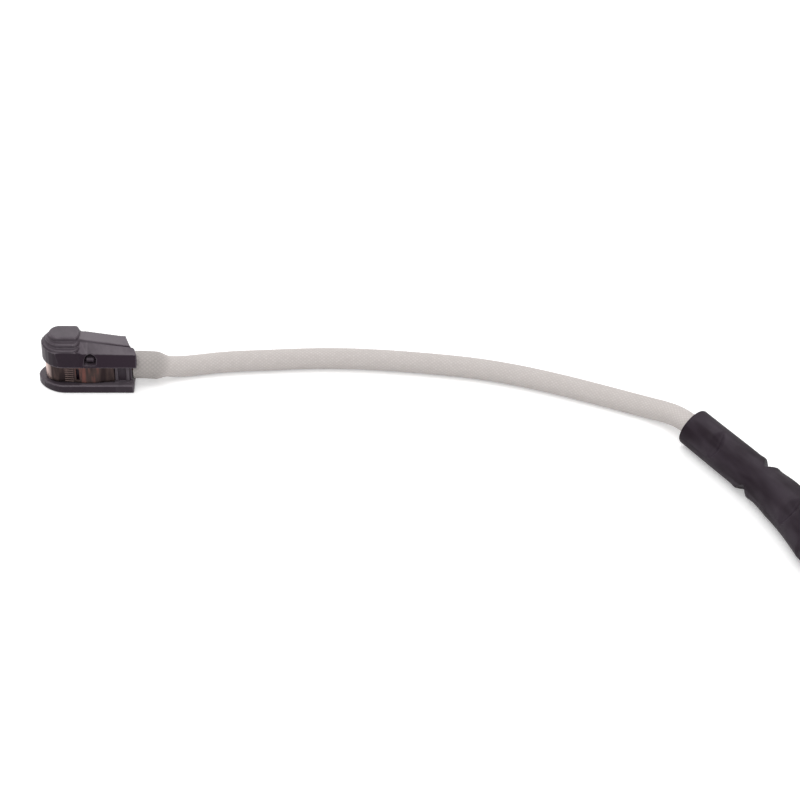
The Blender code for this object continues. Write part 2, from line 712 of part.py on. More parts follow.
def boot_radius(run, total):
    """The boot's radius at a distance from its mouth: lip, body, flare, and a ribbed taper."""
    lip = np.clip(run / BOOT_LIP, 0.0, 1.0)
    radius = BOOT_MOUTH_RADIUS - 0.3 * MM * (1 - lip)
    radius += (BOOT_BODY_RADIUS - BOOT_MOUTH_RADIUS) * np.clip(run / BOOT_FLARE_START, 0, 1)
    flare = np.clip((run - BOOT_FLARE_START) / (BOOT_FLARE_END - BOOT_FLARE_START), 0, 1)
    radius += (BOOT_FLARE_RADIUS - BOOT_BODY_RADIUS) * flare
    tail = np.clip((run - BOOT_TAIL_START) / (total - BOOT_TAIL_START), 0, 1)
    radius += (BOOT_TAIL_RADIUS - BOOT_FLARE_RADIUS) * tail
    wave = 0.5 - 0.5 * np.cos(2 * math.pi * (run - BOOT_TAIL_START) / BOOT_RIB_PITCH)
    ribbed = (run > BOOT_TAIL_START) & (run < BOOT_TAIL_START + 4 * BOOT_RIB_PITCH)
    return radius - np.where(ribbed, BOOT_RIB_HEIGHT * wave, 0.0)


def boot_frame(points, index):
    """Tangent, first dent direction and second dent direction at one point of the boot's line."""
    before, after = max(index - 1, 0), min(index + 1, len(points) - 1)
    tangent = Vector(points[after] - points[before]).normalized()
    side = tangent.cross(Vector((0, 0, 1))).normalized()
    up = side.cross(tangent)
    first = up * math.cos(BOOT_DENT_TILT) + side * math.sin(BOOT_DENT_TILT)
    return tangent, first, tangent.cross(first)


def make_boot():
    """Rubber boot lofted along its bent line, with a recessed mouth and crimp dents in pairs."""
    sides = 20
    points = smooth_path(BOOT_ROUTE, 0.8 * MM)
    run = np.r_[0.0, np.cumsum(np.linalg.norm(np.diff(points, axis=0), axis=1))]
    plain = (run > 2 * BOOT_LIP) & (run < BOOT_TAIL_START - 1 * MM)
    keep = [i for i in range(len(points)) if not plain[i] or i % 4 == 0]
    radii = boot_radius(run, run[-1])
    work = bmesh.new()
    rings = []
    for i in keep:
        _, first, second = boot_frame(points, i)
        ring = []
        for k in range(sides):
            turn = 2 * math.pi * k / sides
            out = first * math.cos(turn) + second * math.sin(turn)
            ring.append(work.verts.new(Vector(points[i]) + out * radii[i]))
        rings.append(ring)
    for low, high in zip(rings, rings[1:]):
        for k in range(sides):
            m = (k + 1) % sides
            work.faces.new((low[k], low[m], high[m], high[k]))
    work.faces.new(list(reversed(rings[0])))
    work.faces.new(rings[-1])
    bmesh.ops.recalc_face_normals(work, faces=work.faces)
    mesh = bpy.data.meshes.new("rubber_boot")
    work.to_mesh(mesh)
    work.free()
    boot = add_object("rubber_boot", mesh, BOOT_RUBBER)
    tangent, first, second = boot_frame(points, 0)
    mouth = Matrix((first, second, tangent)).transposed().to_4x4()
    mouth.translation = Vector(points[0])
    recess = rod(
        "boot_recess",
        SLEEVE_RADIUS + BOOT_RECESS_CLEARANCE,
        -2 * MM,
        BOOT_RECESS,
        24,
        None,
        mouth,
    )
    boolean(boot, recess, "DIFFERENCE")
    for at, turn in BOOT_DENTS:
        index = int(np.argmin(np.abs(run - at)))
        tangent, first, second = boot_frame(points, index)
        across, out = (second, first) if turn == 0 else (first, second)
        place = Matrix((tangent, across, out)).transposed().to_4x4()
        place.translation = Vector(points[index])
        for face in (-1, 1):
            inner = radii[index] - BOOT_DENT_DEPTH
            outer = radii[index] + 2 * MM
            low, high = (inner, outer) if face > 0 else (-outer, -inner)
            half_length, reach = BOOT_DENT_LENGTH / 2, 2 * BOOT_FLARE_RADIUS
            dent = box_cutter(
                f"boot_dent_{index}_{'out' if face > 0 else 'in'}",
                (-half_length, -reach, low),
                (half_length, reach, high),
                place,
            )
            boolean(boot, dent, "DIFFERENCE")
    return boot


def make_lead():
    """The jacketed lead: up to the coil, the coil's outer shape, and on to the connector."""
    spacing = 2 * LEAD_DIAMETER
    tube("lead_run", smooth_path(LEAD_ROUTE, spacing / 2), LEAD_RADIUS, 2, LEAD_JACKET)
    low, high = COIL_LIFT, COIL_LIFT + COIL_HEIGHT
    corner = LEAD_RADIUS / 2
    profile = [
        (COIL_OUTER_RADIUS - corner, high),
        (COIL_OUTER_RADIUS, high - corner),
        (COIL_OUTER_RADIUS, low + corner),
        (COIL_OUTER_RADIUS - corner, low),
        (COIL_INNER_RADIUS + corner, low),
        (COIL_INNER_RADIUS, low + corner),
        (COIL_INNER_RADIUS, high - corner),
        (COIL_INNER_RADIUS + corner, high),
    ]
    centre = Matrix.Translation((*COIL_CENTRE, 0.0))
    turned("lead_coil", profile, 48, LEAD_JACKET, centre, closed=True)
    tube("lead_tail", smooth_path(TAIL_ROUTE, spacing / 2), LEAD_RADIUS, 2, LEAD_JACKET)


def make_tie():
    """Strap round the coil's section, with its buckle on the top."""
    wide = COIL_OUTER_RADIUS - COIL_INNER_RADIUS + 2 * GAP
    tall = COIL_HEIGHT + 2 * GAP
    outer = rounded_rectangle(wide + 2 * TIE_THICKNESS, tall + 2 * TIE_THICKNESS, 1.3 * MM)
    inner = rounded_rectangle(wide, tall, 0.7 * MM)
    tie = prism(
        "coil_tie", [outer, inner], -TIE_WIDTH / 2, TIE_WIDTH / 2, TIE_PLASTIC
    )
    outward = Vector((math.cos(TIE_ANGLE), math.sin(TIE_ANGLE), 0))
    up = Vector((0, 0, 1))
    place = Matrix((outward, up, outward.cross(up))).transposed().to_4x4()
    middle = Vector((*COIL_CENTRE, COIL_LIFT + COIL_HEIGHT / 2))
    place.translation = middle + outward * COIL_MID_RADIUS
    tie.matrix_world = place
    length, width, height = TIE_HEAD
    low = tall / 2 + TIE_THICKNESS / 2
    head = box_cutter(
        "tie_head",
        (-length / 2, low, -width / 2),
        (length / 2, low + height, width / 2),
        place,
    )
    bevel(head, 0.5 * MM)
    boolean(tie, head, "UNION")
    return tie


def make_connector():
    """Housing with its shroud, rear cap, two seals, the terminal lock and two pins."""
    rear_x, y = CONNECTOR_REAR
    centre = (y, CONNECTOR_Z)
    plate_rear_x = rear_x - CAP_NECK_LENGTH
    plate_front_x = plate_rear_x - CAP_PLATE
    housing_rear_x = plate_front_x - GAP
    mouth_x = housing_rear_x - HOUSING_LENGTH
    shroud_floor_x = mouth_x + SHROUD_DEPTH
    web_rear_x = shroud_floor_x + WEB_THICKNESS
    outer = rounded_rectangle(CONNECTOR_WIDTH, CONNECTOR_HEIGHT, CONNECTOR_CORNER)

    cap = prism(
        "connector_cap", [outer], plate_front_x, plate_rear_x, CONNECTOR_PLASTIC, "x", centre
    )
    bevel(cap, 0.5 * MM)
    neck_profile = [
        (0.0, CAP_NECK_LENGTH),
        (CAP_NECK_RADIUS * 0.8, CAP_NECK_LENGTH),
        (CAP_NECK_RADIUS, CAP_NECK_LENGTH - 1.2 * MM),
        (CAP_NECK_RADIUS, 2 * MM),
        (CAP_NECK_RADIUS + 1.2 * MM, 0.0),
        (CAP_NECK_RADIUS + 1.2 * MM, -1 * MM),
        (0.0, -1 * MM),
    ]
    neck = turned("cap_neck", neck_profile, 24, None, along_x(plate_rear_x, y, CONNECTOR_Z))
    boolean(cap, neck, "UNION")

    housing = prism(
        "connector_housing", [outer], mouth_x, housing_rear_x, CONNECTOR_PLASTIC, "x", centre
    )
    shroud_width = CONNECTOR_WIDTH - 2 * SHROUD_WALL
    shroud_height = CONNECTOR_HEIGHT - 2 * SHROUD_WALL
    shroud_corner = CONNECTOR_CORNER - SHROUD_WALL
    bore = rounded_rectangle(shroud_width, shroud_height, shroud_corner)
    shroud = prism(
        "shroud_space", [bore], mouth_x - 1 * MM, shroud_floor_x, None, "x", centre
    )
    boolean(housing, shroud, "DIFFERENCE")
    seal_width = CONNECTOR_WIDTH - 2 * SEAL_WALL
    seal_height = CONNECTOR_HEIGHT - 2 * SEAL_WALL
    pocket = rounded_rectangle(seal_width, seal_height, 1.2 * MM)
    seal_space = prism(
        "seal_space", [pocket], web_rear_x, housing_rear_x + 1 * MM, None, "x", centre
    )
    boolean(housing, seal_space, "DIFFERENCE")
    for sign in (-1, 1):
        hole = rod(
            f"pin_hole_{sign}",
            PIN_DIAMETER / 2 + GAP,
            shroud_floor_x - 1 * MM,
            web_rear_x + 1 * MM,
            16,
            None,
            along_x(0.0, y + sign * PIN_HALF_PITCH, CONNECTOR_Z),
        )
        boolean(housing, hole, "DIFFERENCE")
    length, width, height = LOCK_SIZE
    lock_x = (shroud_floor_x + web_rear_x) / 2
    slot = box_cutter(
        "lock_slot",
        (lock_x - length / 2 - GAP, y - width / 2 - GAP, CONNECTOR_HEIGHT - height - GAP),
        (lock_x + length / 2 + GAP, y + width / 2 + GAP, CONNECTOR_HEIGHT + 1 * MM),
    )
    boolean(housing, slot, "DIFFERENCE")
    length, width, height = RAMP_SIZE
    ramp_outline = [
        (mouth_x + RAMP_START, CONNECTOR_HEIGHT - 0.5 * MM),
        (mouth_x + RAMP_START + length, CONNECTOR_HEIGHT - 0.5 * MM),
        (mouth_x + RAMP_START + length, CONNECTOR_HEIGHT + height),
        (mouth_x + RAMP_START + length * 0.7, CONNECTOR_HEIGHT + height),
    ]
    ramp = prism(
        "latch_ramp", [ramp_outline], y - width / 2, y + width / 2, None, axis="y"
    )
    boolean(housing, ramp, "UNION")
    length, reach, height = KEY_SIZE
    keys = box_cutter(
        "side_keys",
        (mouth_x, y - CONNECTOR_WIDTH / 2 - reach, CONNECTOR_Z - height / 2),
        (mouth_x + length, y - CONNECTOR_WIDTH / 2 + 0.5 * MM, CONNECTOR_Z + height / 2),
    )
    boolean(housing, keys, "UNION")

    lock_length, lock_width, lock_height = LOCK_SIZE
    lock = prism(
        "terminal_lock",
        [rounded_rectangle(lock_length, lock_width, 0.3 * MM, 2)],
        CONNECTOR_HEIGHT - lock_height,
        CONNECTOR_HEIGHT,
        LOCK_PLASTIC,
        "z",
        (lock_x, y),
    )
    seal = prism(
        "wire_seal",
        [rounded_rectangle(seal_width - 2 * GAP, seal_height - 2 * GAP, 1.0 * MM)],
        web_rear_x + GAP,
        housing_rear_x,
        SEAL_RUBBER,
        "x",
        centre,
    )
    face_outer = rounded_rectangle(
        shroud_width - 2 * GAP, shroud_height - 2 * GAP, shroud_corner - GAP / 2
    )
    face_inner = rounded_rectangle(
        shroud_width - 2 * GAP - 2 * FACE_SEAL_WALL,
        shroud_height - 2 * GAP - 2 * FACE_SEAL_WALL,
        0.7 * MM,
    )
    prism(
        "face_seal",
        [face_outer, face_inner],
        shroud_floor_x - GAP - FACE_SEAL_LENGTH,
        shroud_floor_x - GAP,
        SEAL_RUBBER,
        "x",
        centre,
    )
    radius = PIN_DIAMETER / 2
    pin_length = PIN_REACH + WEB_THICKNESS
    profile = [
        (0.0, pin_length),
        (radius, pin_length),
        (radius, 1.0 * MM),
        (radius * 0.55, 0.0),
        (0.0, 0.0),
    ]
    for letter, sign in (("a", 1), ("b", -1)):
        place = along_x(
            shroud_floor_x - PIN_REACH, y + sign * PIN_HALF_PITCH, CONNECTOR_Z
        )
        turned(f"pin_{letter}", profile, 14, TIN, place)
    return housing, cap, lock, seal


make_base()
make_cover()
make_clip()
make_wires()
make_sleeve()
make_boot()
make_lead()
make_tie()
make_connector()
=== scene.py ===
# %% [markdown]
# # Brake pad wear sensor
#
# The real object is a small plastic head that clips into a brake pad's backing plate. Two thin wires
# leave it in a pale braided sleeve, which runs into a black rubber boot, and from there a jacketed lead
# goes on to a plug-in connector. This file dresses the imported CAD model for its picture. It is read from
# top to bottom, like a notebook: each step first says what the real piece is, and then makes it.
#
# All sizes are in metres, in the CAD model's own frame: the head stands on its flange round the origin,
# its nose points to -X, the lead leaves towards +X, and +Z is up.

# %% Load the frame
import math

import bmesh
import bpy
import numpy as np
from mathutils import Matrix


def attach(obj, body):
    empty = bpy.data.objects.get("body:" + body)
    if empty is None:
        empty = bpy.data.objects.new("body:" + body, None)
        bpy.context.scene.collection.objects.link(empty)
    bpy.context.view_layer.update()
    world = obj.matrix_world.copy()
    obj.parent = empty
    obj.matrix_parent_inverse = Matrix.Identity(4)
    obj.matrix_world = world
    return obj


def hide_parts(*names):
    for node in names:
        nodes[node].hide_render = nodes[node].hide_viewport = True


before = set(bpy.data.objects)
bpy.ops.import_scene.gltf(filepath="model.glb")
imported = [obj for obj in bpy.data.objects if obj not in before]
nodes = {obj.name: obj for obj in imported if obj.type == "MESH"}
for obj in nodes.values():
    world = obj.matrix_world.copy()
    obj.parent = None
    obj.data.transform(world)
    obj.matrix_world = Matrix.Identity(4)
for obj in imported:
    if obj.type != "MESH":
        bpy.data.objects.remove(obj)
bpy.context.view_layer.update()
scene = bpy.context.scene
MM = 0.001
print("CAD nodes:", len(nodes))

# %% [markdown]
# ## Camera
#
# The picture is taken from the near side, 38 degrees above the floor, from far enough away that parallel
# lines stay nearly parallel. A camera with no perspective at all could do it too, but a real one shows a
# little depth, so this one has a long lens: a focal length of 3036 pixels for a picture 800 pixels wide.

# %% Camera
VIEW_ELEVATION = math.radians(38.0)
VIEW_DISTANCE = 700 * MM
VIEW_TARGET = np.array((72.1, -7.668, 0.0)) * MM
FOCAL_PIXELS = 3035.98
PICTURE_PIXELS = 800
SENSOR_WIDTH = 36.0
NEAREST_SEEN = 0.01
FARTHEST_SEEN = 20.0

camera_data = bpy.data.cameras.new("camera")
camera_data.sensor_width = SENSOR_WIDTH
camera_data.lens = SENSOR_WIDTH * FOCAL_PIXELS / PICTURE_PIXELS
camera_data.clip_start = NEAREST_SEEN
camera_data.clip_end = FARTHEST_SEEN
camera = bpy.data.objects.new("camera", camera_data)
scene.collection.objects.link(camera)
backwards = np.array((0.0, -math.cos(VIEW_ELEVATION), math.sin(VIEW_ELEVATION)))
camera.location = VIEW_TARGET + VIEW_DISTANCE * backwards
camera.rotation_euler = (math.pi / 2 - VIEW_ELEVATION, 0.0, 0.0)
scene.camera = camera
scene.view_settings.view_transform = "Standard"
print("camera at", [round(x, 4) for x in camera.location], "lens", round(camera_data.lens, 1), "mm")

# %% [markdown]
# ## Helpers for finishes
#
# Every finish is a Principled BSDF with plain values of its own. A mask, which is a number from 0 to 1
# that changes over the surface, says where one colour goes over into another. Each small function below
# places one node or a few, so that a finish later reads as a few lines.


# %% A material and its plain values
def link(tree, source, target):
    """Joins an output socket to an input socket."""
    tree.links.new(source, target)


def new_material(name, colour, roughness, metallic=0.0, specular=0.5):
    """A material, its node tree, its shader and a Texture Coordinate node."""
    material = bpy.data.materials.new(name)
    material.use_nodes = True
    material.diffuse_color = (*colour, 1.0)
    tree = material.node_tree
    shader = tree.nodes["Principled BSDF"]
    shader.inputs["Base Color"].default_value = (*colour, 1.0)
    shader.inputs["Roughness"].default_value = roughness
    shader.inputs["Metallic"].default_value = metallic
    shader.inputs["Specular IOR Level"].default_value = specular
    coordinates = tree.nodes.new("ShaderNodeTexCoord")
    return material, tree, shader, coordinates


# %% Masks from numbers
def math_node(tree, operation, first, second=None, third=None):
    """A Math node whose inputs are sockets or numbers."""
    node = tree.nodes.new("ShaderNodeMath")
    node.operation = operation
    for socket, value in zip(node.inputs, (first, second, third)):
        if value is None:
            continue
        if isinstance(value, (int, float)):
            socket.default_value = value
        else:
            link(tree, value, socket)
    return node.outputs[0]


def product(tree, *masks):
    """The product of two or more masks, each a socket or a number."""
    total = masks[0]
    for mask in masks[1:]:
        total = math_node(tree, "MULTIPLY", total, mask)
    return total


def split_axes(tree, vector):
    """The X, Y and Z of a vector, as three sockets."""
    node = tree.nodes.new("ShaderNodeSeparateXYZ")
    link(tree, vector, node.inputs[0])
    return tuple(node.outputs)


def soft_step(tree, value, low, high):
    """0 at low, 1 at high, and smooth in between. It falls where low is the larger of the two."""
    node = tree.nodes.new("ShaderNodeMapRange")
    node.interpolation_type = "SMOOTHSTEP"
    node.inputs["From Min"].default_value = low
    node.inputs["From Max"].default_value = high
    link(tree, value, node.inputs["Value"])
    return node.outputs["Result"]


def band(tree, distance, edges):
    """1 inside a band and 0 outside it: one soft step up, times one soft step down.

    Its edges are four distances in millimetres: the start of the rise, its end, the start of the fall,
    and its end."""
    rise, full, fall, end = (edge * MM for edge in edges)
    return product(
        tree, soft_step(tree, distance, rise, full), soft_step(tree, distance, end, fall)
    )


# %% Colours, roughness, noise and dents from masks
def mix_colours(tree, mask, first, second):
    """A colour that goes from first to second with the mask. Each is a socket or three numbers."""
    node = tree.nodes.new("ShaderNodeMix")
    node.data_type = "RGBA"
    link(tree, mask, node.inputs["Factor"])
    for socket, value in ((node.inputs[6], first), (node.inputs[7], second)):
        if isinstance(value, tuple):
            socket.default_value = (*value, 1.0)
        else:
            link(tree, value, socket)
    return node.outputs[2]


def set_range(tree, mask, low, high, target):
    """Feeds low + mask * (high - low) to a socket."""
    node = tree.nodes.new("ShaderNodeMapRange")
    node.inputs["To Min"].default_value = low
    node.inputs["To Max"].default_value = high
    link(tree, mask, node.inputs["Value"])
    link(tree, node.outputs["Result"], target)


def noise(tree, vector, detail, scale=1.0):
    """A cloudy mask, whose swells are about 1 / scale of the vector's units wide."""
    node = tree.nodes.new("ShaderNodeTexNoise")
    node.inputs["Scale"].default_value = scale
    node.inputs["Detail"].default_value = detail
    link(tree, vector, node.inputs["Vector"])
    return node.outputs["Fac"]


def stretched(tree, vector, scale, shift=(0.0, 0.0, 0.0)):
    """A vector times a scale on each axis, plus a shift."""
    node = tree.nodes.new("ShaderNodeMapping")
    node.inputs["Scale"].default_value = scale
    node.inputs["Location"].default_value = shift
    link(tree, vector, node.inputs["Vector"])
    return node.outputs["Vector"]


def bump(tree, height, distance, shader, normal=None):
    """A Bump node from a height to the shader's normal. distance is what a height of 1 stands for."""
    node = tree.nodes.new("ShaderNodeBump")
    node.inputs["Distance"].default_value = distance
    link(tree, height, node.inputs["Height"])
    if normal is not None:
        link(tree, normal, node.inputs["Normal"])
    link(tree, node.outputs["Normal"], shader.inputs["Normal"])


# %% [markdown]
# ## Floor and light
#
# The object lies on a plain white floor. A plain white world lights it from all round, a large soft lamp
# above gives it shape, one in front fills its near sides, and one behind gives the satin plastic its
# sheen on the faces that look up. A picture of a real studio could light it too, but three lamps are
# easier to follow. Light Path lets the camera see pure white past the object, while the floor still keeps
# a soft shadow.

# %% Floor and world
FLOOR_HALF = 6.0
FLOOR_DROP = 0.02 * MM
FLOOR_GLOW = 0.3
WORLD_LIGHT = 0.42


def seen_rays(tree):
    """1 for the rays that see the background: from the camera, off a gloss, or through a clear thing."""
    path = tree.nodes.new("ShaderNodeLightPath")
    seen = math_node(
        tree, "MAXIMUM", path.outputs["Is Camera Ray"], path.outputs["Is Transmission Ray"]
    )
    return math_node(tree, "MAXIMUM", seen, path.outputs["Is Glossy Ray"])


def make_floor():
    """A large square just below Z = 0. It adds a little light of its own, which only seen rays get."""
    mesh = bpy.data.meshes.new("floor")
    signs = ((-1, -1), (1, -1), (1, 1), (-1, 1))
    corners = [(FLOOR_HALF * x, FLOOR_HALF * y, 0.0) for x, y in signs]
    mesh.from_pydata(corners, [], [(0, 1, 2, 3)])
    floor = bpy.data.objects.new("floor", mesh)
    floor.location.z = -FLOOR_DROP
    scene.collection.objects.link(floor)
    material, tree, shader, _ = new_material("white floor", (0.9, 0.9, 0.9), 0.9, 0.0, 0.0)
    glow = tree.nodes.new("ShaderNodeEmission")
    link(tree, product(tree, seen_rays(tree), FLOOR_GLOW), glow.inputs["Strength"])
    total = tree.nodes.new("ShaderNodeAddShader")
    link(tree, shader.outputs[0], total.inputs[0])
    link(tree, glow.outputs[0], total.inputs[1])
    link(tree, total.outputs[0], tree.nodes["Material Output"].inputs["Surface"])
    mesh.materials.append(material)


def make_world():
    """White for the camera and for reflections, and softer for the light that it gives."""
    world = bpy.data.worlds.new("world")
    scene.world = world
    world.use_nodes = True
    tree = world.node_tree
    background = tree.nodes["Background"]
    background.inputs["Color"].default_value = (1.0, 1.0, 1.0, 1.0)
    set_range(tree, seen_rays(tree), WORLD_LIGHT, 1.0, background.inputs["Strength"])


make_floor()
make_world()
print("floor", 2 * FLOOR_HALF, "m wide, world at", WORLD_LIGHT)

# %% Lamps: place and width in metres, and power in watts
LAMP_TARGET = (0.07, -0.02, 0.0)
LAMPS = {
    "lamp_above": ((-0.1, -0.15, 1.1), 0.7, 5.6),
    "lamp_front": ((0.0, -0.75, 0.78), 0.5, 2.9),
    "lamp_behind": ((0.1, 0.9, 0.75), 0.7, 4.6),
}


def make_lamp(name, place, size, power):
    """A square area lamp that looks at LAMP_TARGET.

    It is tipped by the angle whose tangent is distance across / height, and then turned towards it."""
    data = bpy.data.lights.new(name, "AREA")
    data.size = size
    data.energy = power
    lamp = bpy.data.objects.new(name, data)
    scene.collection.objects.link(lamp)
    away = np.array(place) - np.array(LAMP_TARGET)
    across = math.hypot(away[0], away[1])
    lamp.location = place
    lamp.rotation_euler = (math.atan2(across, away[2]), 0.0, math.atan2(away[0], -away[1]))
    print(name, power, "W")


for name, (place, size, power) in LAMPS.items():
    make_lamp(name, place, size, power)

# %% [markdown]
# ## Helpers for surfaces
#
# Everything new here is a grid of points: a path gives the rows, and the angle round it gives the
# columns. Curve objects with a bevel could make plain tubes, but not raised yarns or press marks. One
# function turns a grid into a closed mesh, with a UV map that holds turns round the path in U and metres
# along it in V, so that a weave can follow the piece.


# %% A grid of points becomes a mesh
def tube_faces(rows, columns):
    """The corners of a tube's faces: quads from each row to the next, and a fan of triangles at each end.

    Point row * columns + column is on a ring, and the last two points are the centres of the ends."""
    row, column = np.meshgrid(np.arange(rows - 1), np.arange(columns), indexing="ij")
    following = (column + 1) % columns
    quads = np.stack(
        [
            row * columns + column,
            row * columns + following,
            (row + 1) * columns + following,
            (row + 1) * columns + column,
        ],
        axis=-1,
    ).reshape(-1, 4)
    ring = np.arange(columns)
    after = (ring + 1) % columns
    last_row = (rows - 1) * columns
    first = np.stack([after, ring, np.full(columns, rows * columns)], axis=-1)
    last = np.stack(
        [last_row + ring, last_row + after, np.full(columns, rows * columns + 1)], axis=-1
    )
    return quads, np.concatenate([first, last])


def tube_uv(rows, columns, along):
    """A UV for each corner of those faces: U is the turn round the ring, and V is along[row]."""
    row, column = np.meshgrid(np.arange(rows - 1), np.arange(columns), indexing="ij")
    turn = np.stack([column, column + 1, column + 1, column], axis=-1) / columns
    run = along[np.stack([row, row, row + 1, row + 1], axis=-1)]
    quad_uv = np.stack([turn, run], axis=-1).reshape(-1, 2)
    ring = np.arange(columns)
    fan_turn = np.stack([ring + 1, ring, ring + 0.5], axis=-1) / columns
    fan_uv = np.concatenate(
        [
            np.stack([fan_turn, np.full((columns, 3), along[0])], axis=-1),
            np.stack([fan_turn[:, [1, 0, 2]], np.full((columns, 3), along[-1])], axis=-1),
        ]
    ).reshape(-1, 2)
    return np.concatenate([quad_uv, fan_uv])


def grid_mesh(name, grid, along):
    """A closed mesh from grid[row, column], a tube whose columns wrap round and whose ends are fans.

    Each row is a ring, seen anticlockwise from its far end, and along[row] is its place on the path."""
    rows, columns, _ = grid.shape
    ends = np.stack([grid[0].mean(axis=0), grid[-1].mean(axis=0)])
    points = np.concatenate([grid.reshape(-1, 3), ends])
    quads, fans = tube_faces(rows, columns)
    corners = np.concatenate([quads.ravel(), fans.ravel()])
    starts = np.concatenate(
        [4 * np.arange(len(quads)), 4 * len(quads) + 3 * np.arange(len(fans))]
    )
    mesh = bpy.data.meshes.new(name)
    mesh.vertices.add(len(points))
    mesh.vertices.foreach_set("co", points.ravel())
    mesh.loops.add(len(corners))
    mesh.loops.foreach_set("vertex_index", corners.astype(np.int32))
    mesh.polygons.add(len(starts))
    mesh.polygons.foreach_set("loop_start", starts.astype(np.int32))
    mesh.update(calc_edges=True)
    layer = mesh.uv_layers.new(name="UVMap")
    layer.data.foreach_set("uv", tube_uv(rows, columns, along).ravel())
    mesh.shade_smooth()
    mesh.validate()
    return mesh


def show(name, mesh, material):
    """Puts a finished mesh in the scene, at the origin, and lets it ride with the object."""
    piece = bpy.data.objects.new(name, mesh)
    scene.collection.objects.link(piece)
    mesh.materials.append(material)
    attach(piece, "root")
    print(name, len(mesh.polygons), "faces")
    return piece


# %% Distances along a line
def run_along(points):
    """The distance of each point from the first, along the line: the sum of the steps before it."""
    return np.r_[0.0, np.cumsum(np.linalg.norm(np.diff(points, axis=0), axis=1))]


def sampled(field, run, wanted):
    """A field of vectors that is known at the distances run, read off evenly between them at others."""
    return np.stack([np.interp(wanted, run, field[:, axis]) for axis in range(3)], axis=1)


def evenly(points, spacing):
    """The same line with its points at about equal spacing."""
    run = run_along(points)
    wanted = np.linspace(0.0, run[-1], max(2, round(run[-1] / spacing) + 1))
    return sampled(points, run, wanted)


# %% A smooth line through a few chosen points
POINTS_PER_KNOT = 40


def smooth_path(route, spacing):
    """Points at about equal spacing on the natural cubic spline through a route.

    Between two knots the line is a cubic, and its bend (second derivative) changes evenly from knot to
    knot. The bends come from one linear system, which says that the slopes agree where two cubics meet."""
    knots = np.array(route)
    steps = np.linalg.norm(np.diff(knots, axis=0), axis=1)
    at = np.r_[0.0, np.cumsum(steps)]
    inner = np.arange(1, len(knots) - 1)
    system = np.eye(len(knots))
    system[inner, inner - 1] = steps[:-1]
    system[inner, inner] = 2 * (steps[:-1] + steps[1:])
    system[inner, inner + 1] = steps[1:]
    slope = np.diff(knots, axis=0) / steps[:, None]
    right = np.zeros_like(knots)
    right[inner] = 6 * np.diff(slope, axis=0)
    bend = np.linalg.solve(system, right)
    fine = np.linspace(0.0, at[-1], POINTS_PER_KNOT * len(knots))
    span = np.clip(np.searchsorted(at, fine, side="right") - 1, 0, len(knots) - 2)
    width = steps[span][:, None]
    before = (fine - at[span])[:, None]
    after = width - before
    line = (
        bend[span] * after**3 / (6 * width)
        + bend[span + 1] * before**3 / (6 * width)
        + (knots[span] / width - bend[span] * width / 6) * after
        + (knots[span + 1] / width - bend[span + 1] * width / 6) * before
    )
    return evenly(line, spacing)


# %% Rings round a line
def unit(vectors):
    """Vectors divided by their lengths."""
    return vectors / np.linalg.norm(vectors, axis=-1, keepdims=True)


def level_frames(points):
    """Tangent, side and up at each point of a line that is never upright.

    Side is tangent x Z, so it stays level, and up is side x tangent."""
    tangent = unit(np.gradient(points, axis=0))
    side = unit(np.cross(tangent, (0.0, 0.0, 1.0)))
    up = np.cross(side, tangent)
    return tangent, side, up


def spokes(side, up, turns):
    """Directions away from the line: cos(turn) * side - sin(turn) * up, for each row and column.

    They run clockwise, seen along the line, so that the faces point outwards."""
    angle = 2 * math.pi * turns
    return np.cos(angle)[None, :, None] * side[:, None] - np.sin(angle)[None, :, None] * up[:, None]


def rings(points, radius, turns):
    """Ring points: centre + radius * spoke. The radius is one number, or one for each row and column."""
    _, side, up = level_frames(points)
    radius = np.broadcast_to(radius, (len(points), len(turns)))
    return points[:, None] + radius[:, :, None] * spokes(side, up, turns)


# %% [markdown]
# ## The two cords' routes
#
# The braided sleeve drops from the head and lies in one long loose curve, up to the boot. The jacketed
# lead starts where the boot ends. The picture stops there, so the rest of it is wound up as for storage:
# one turn below, a short climb, and one turn above, and then a free end that bends round to its
# connector. Cloth or rope physics could lay the cords down, but a smooth line through chosen points keeps
# them on the CAD model's own line.

# %% Routes
SLEEVE_ROUTE = np.array([
    (10.5, 0.0, 4.46),
    (14.1, 0.1, 4.3),
    (19.6, 1.2, 3.0),
    (29.3, 3.2, 2.5),
    (40.4, 4.2, 2.5),
    (48.8, 4.75, 2.5),
    (58.1, 4.9, 2.5),
    (68.4, 4.2, 2.5),
    (79.6, 2.8, 2.5),
    (90.7, 0.8, 2.5),
    (101.7, -2.4, 2.5),
    (112.6, -6.6, 2.5),
    (123.4, -11.3, 2.5),
    (129.6, -14.4, 2.8),
    (133.8, -17.6, 3.7),
    (136.7, -21.1, 4.4),
    (138.9, -24.2, 4.5),
]) * MM
BOOT_ROUTE = np.array([
    (138.0, -22.9, 4.5),
    (143.6, -31.1, 4.6),
    (149.2, -39.3, 4.7),
    (152.9, -45.1, 4.85),
    (155.5, -49.6, 5.05),
    (158.8, -56.8, 5.15),
    (161.6, -64.7, 5.15),
    (164.2, -72.7, 4.7),
    (166.8, -80.6, 3.9),
]) * MM
LEAD_START = np.array([
    (166.8, -80.6, 3.9),
    (167.9, -84.3, 3.6),
    (169.5, -88.5, 3.3),
    (172.8, -94.4, 3.05),
]) * MM
LEAD_END = np.array([
    (226.4, -79.0, 7.15),
    (226.4, -72.1, 6.6),
    (226.2, -63.0, 5.4),
    (222.3, -53.4, 5.3),
    (214.8, -46.9, 6.1),
    (206.9, -45.5, 6.8),
]) * MM

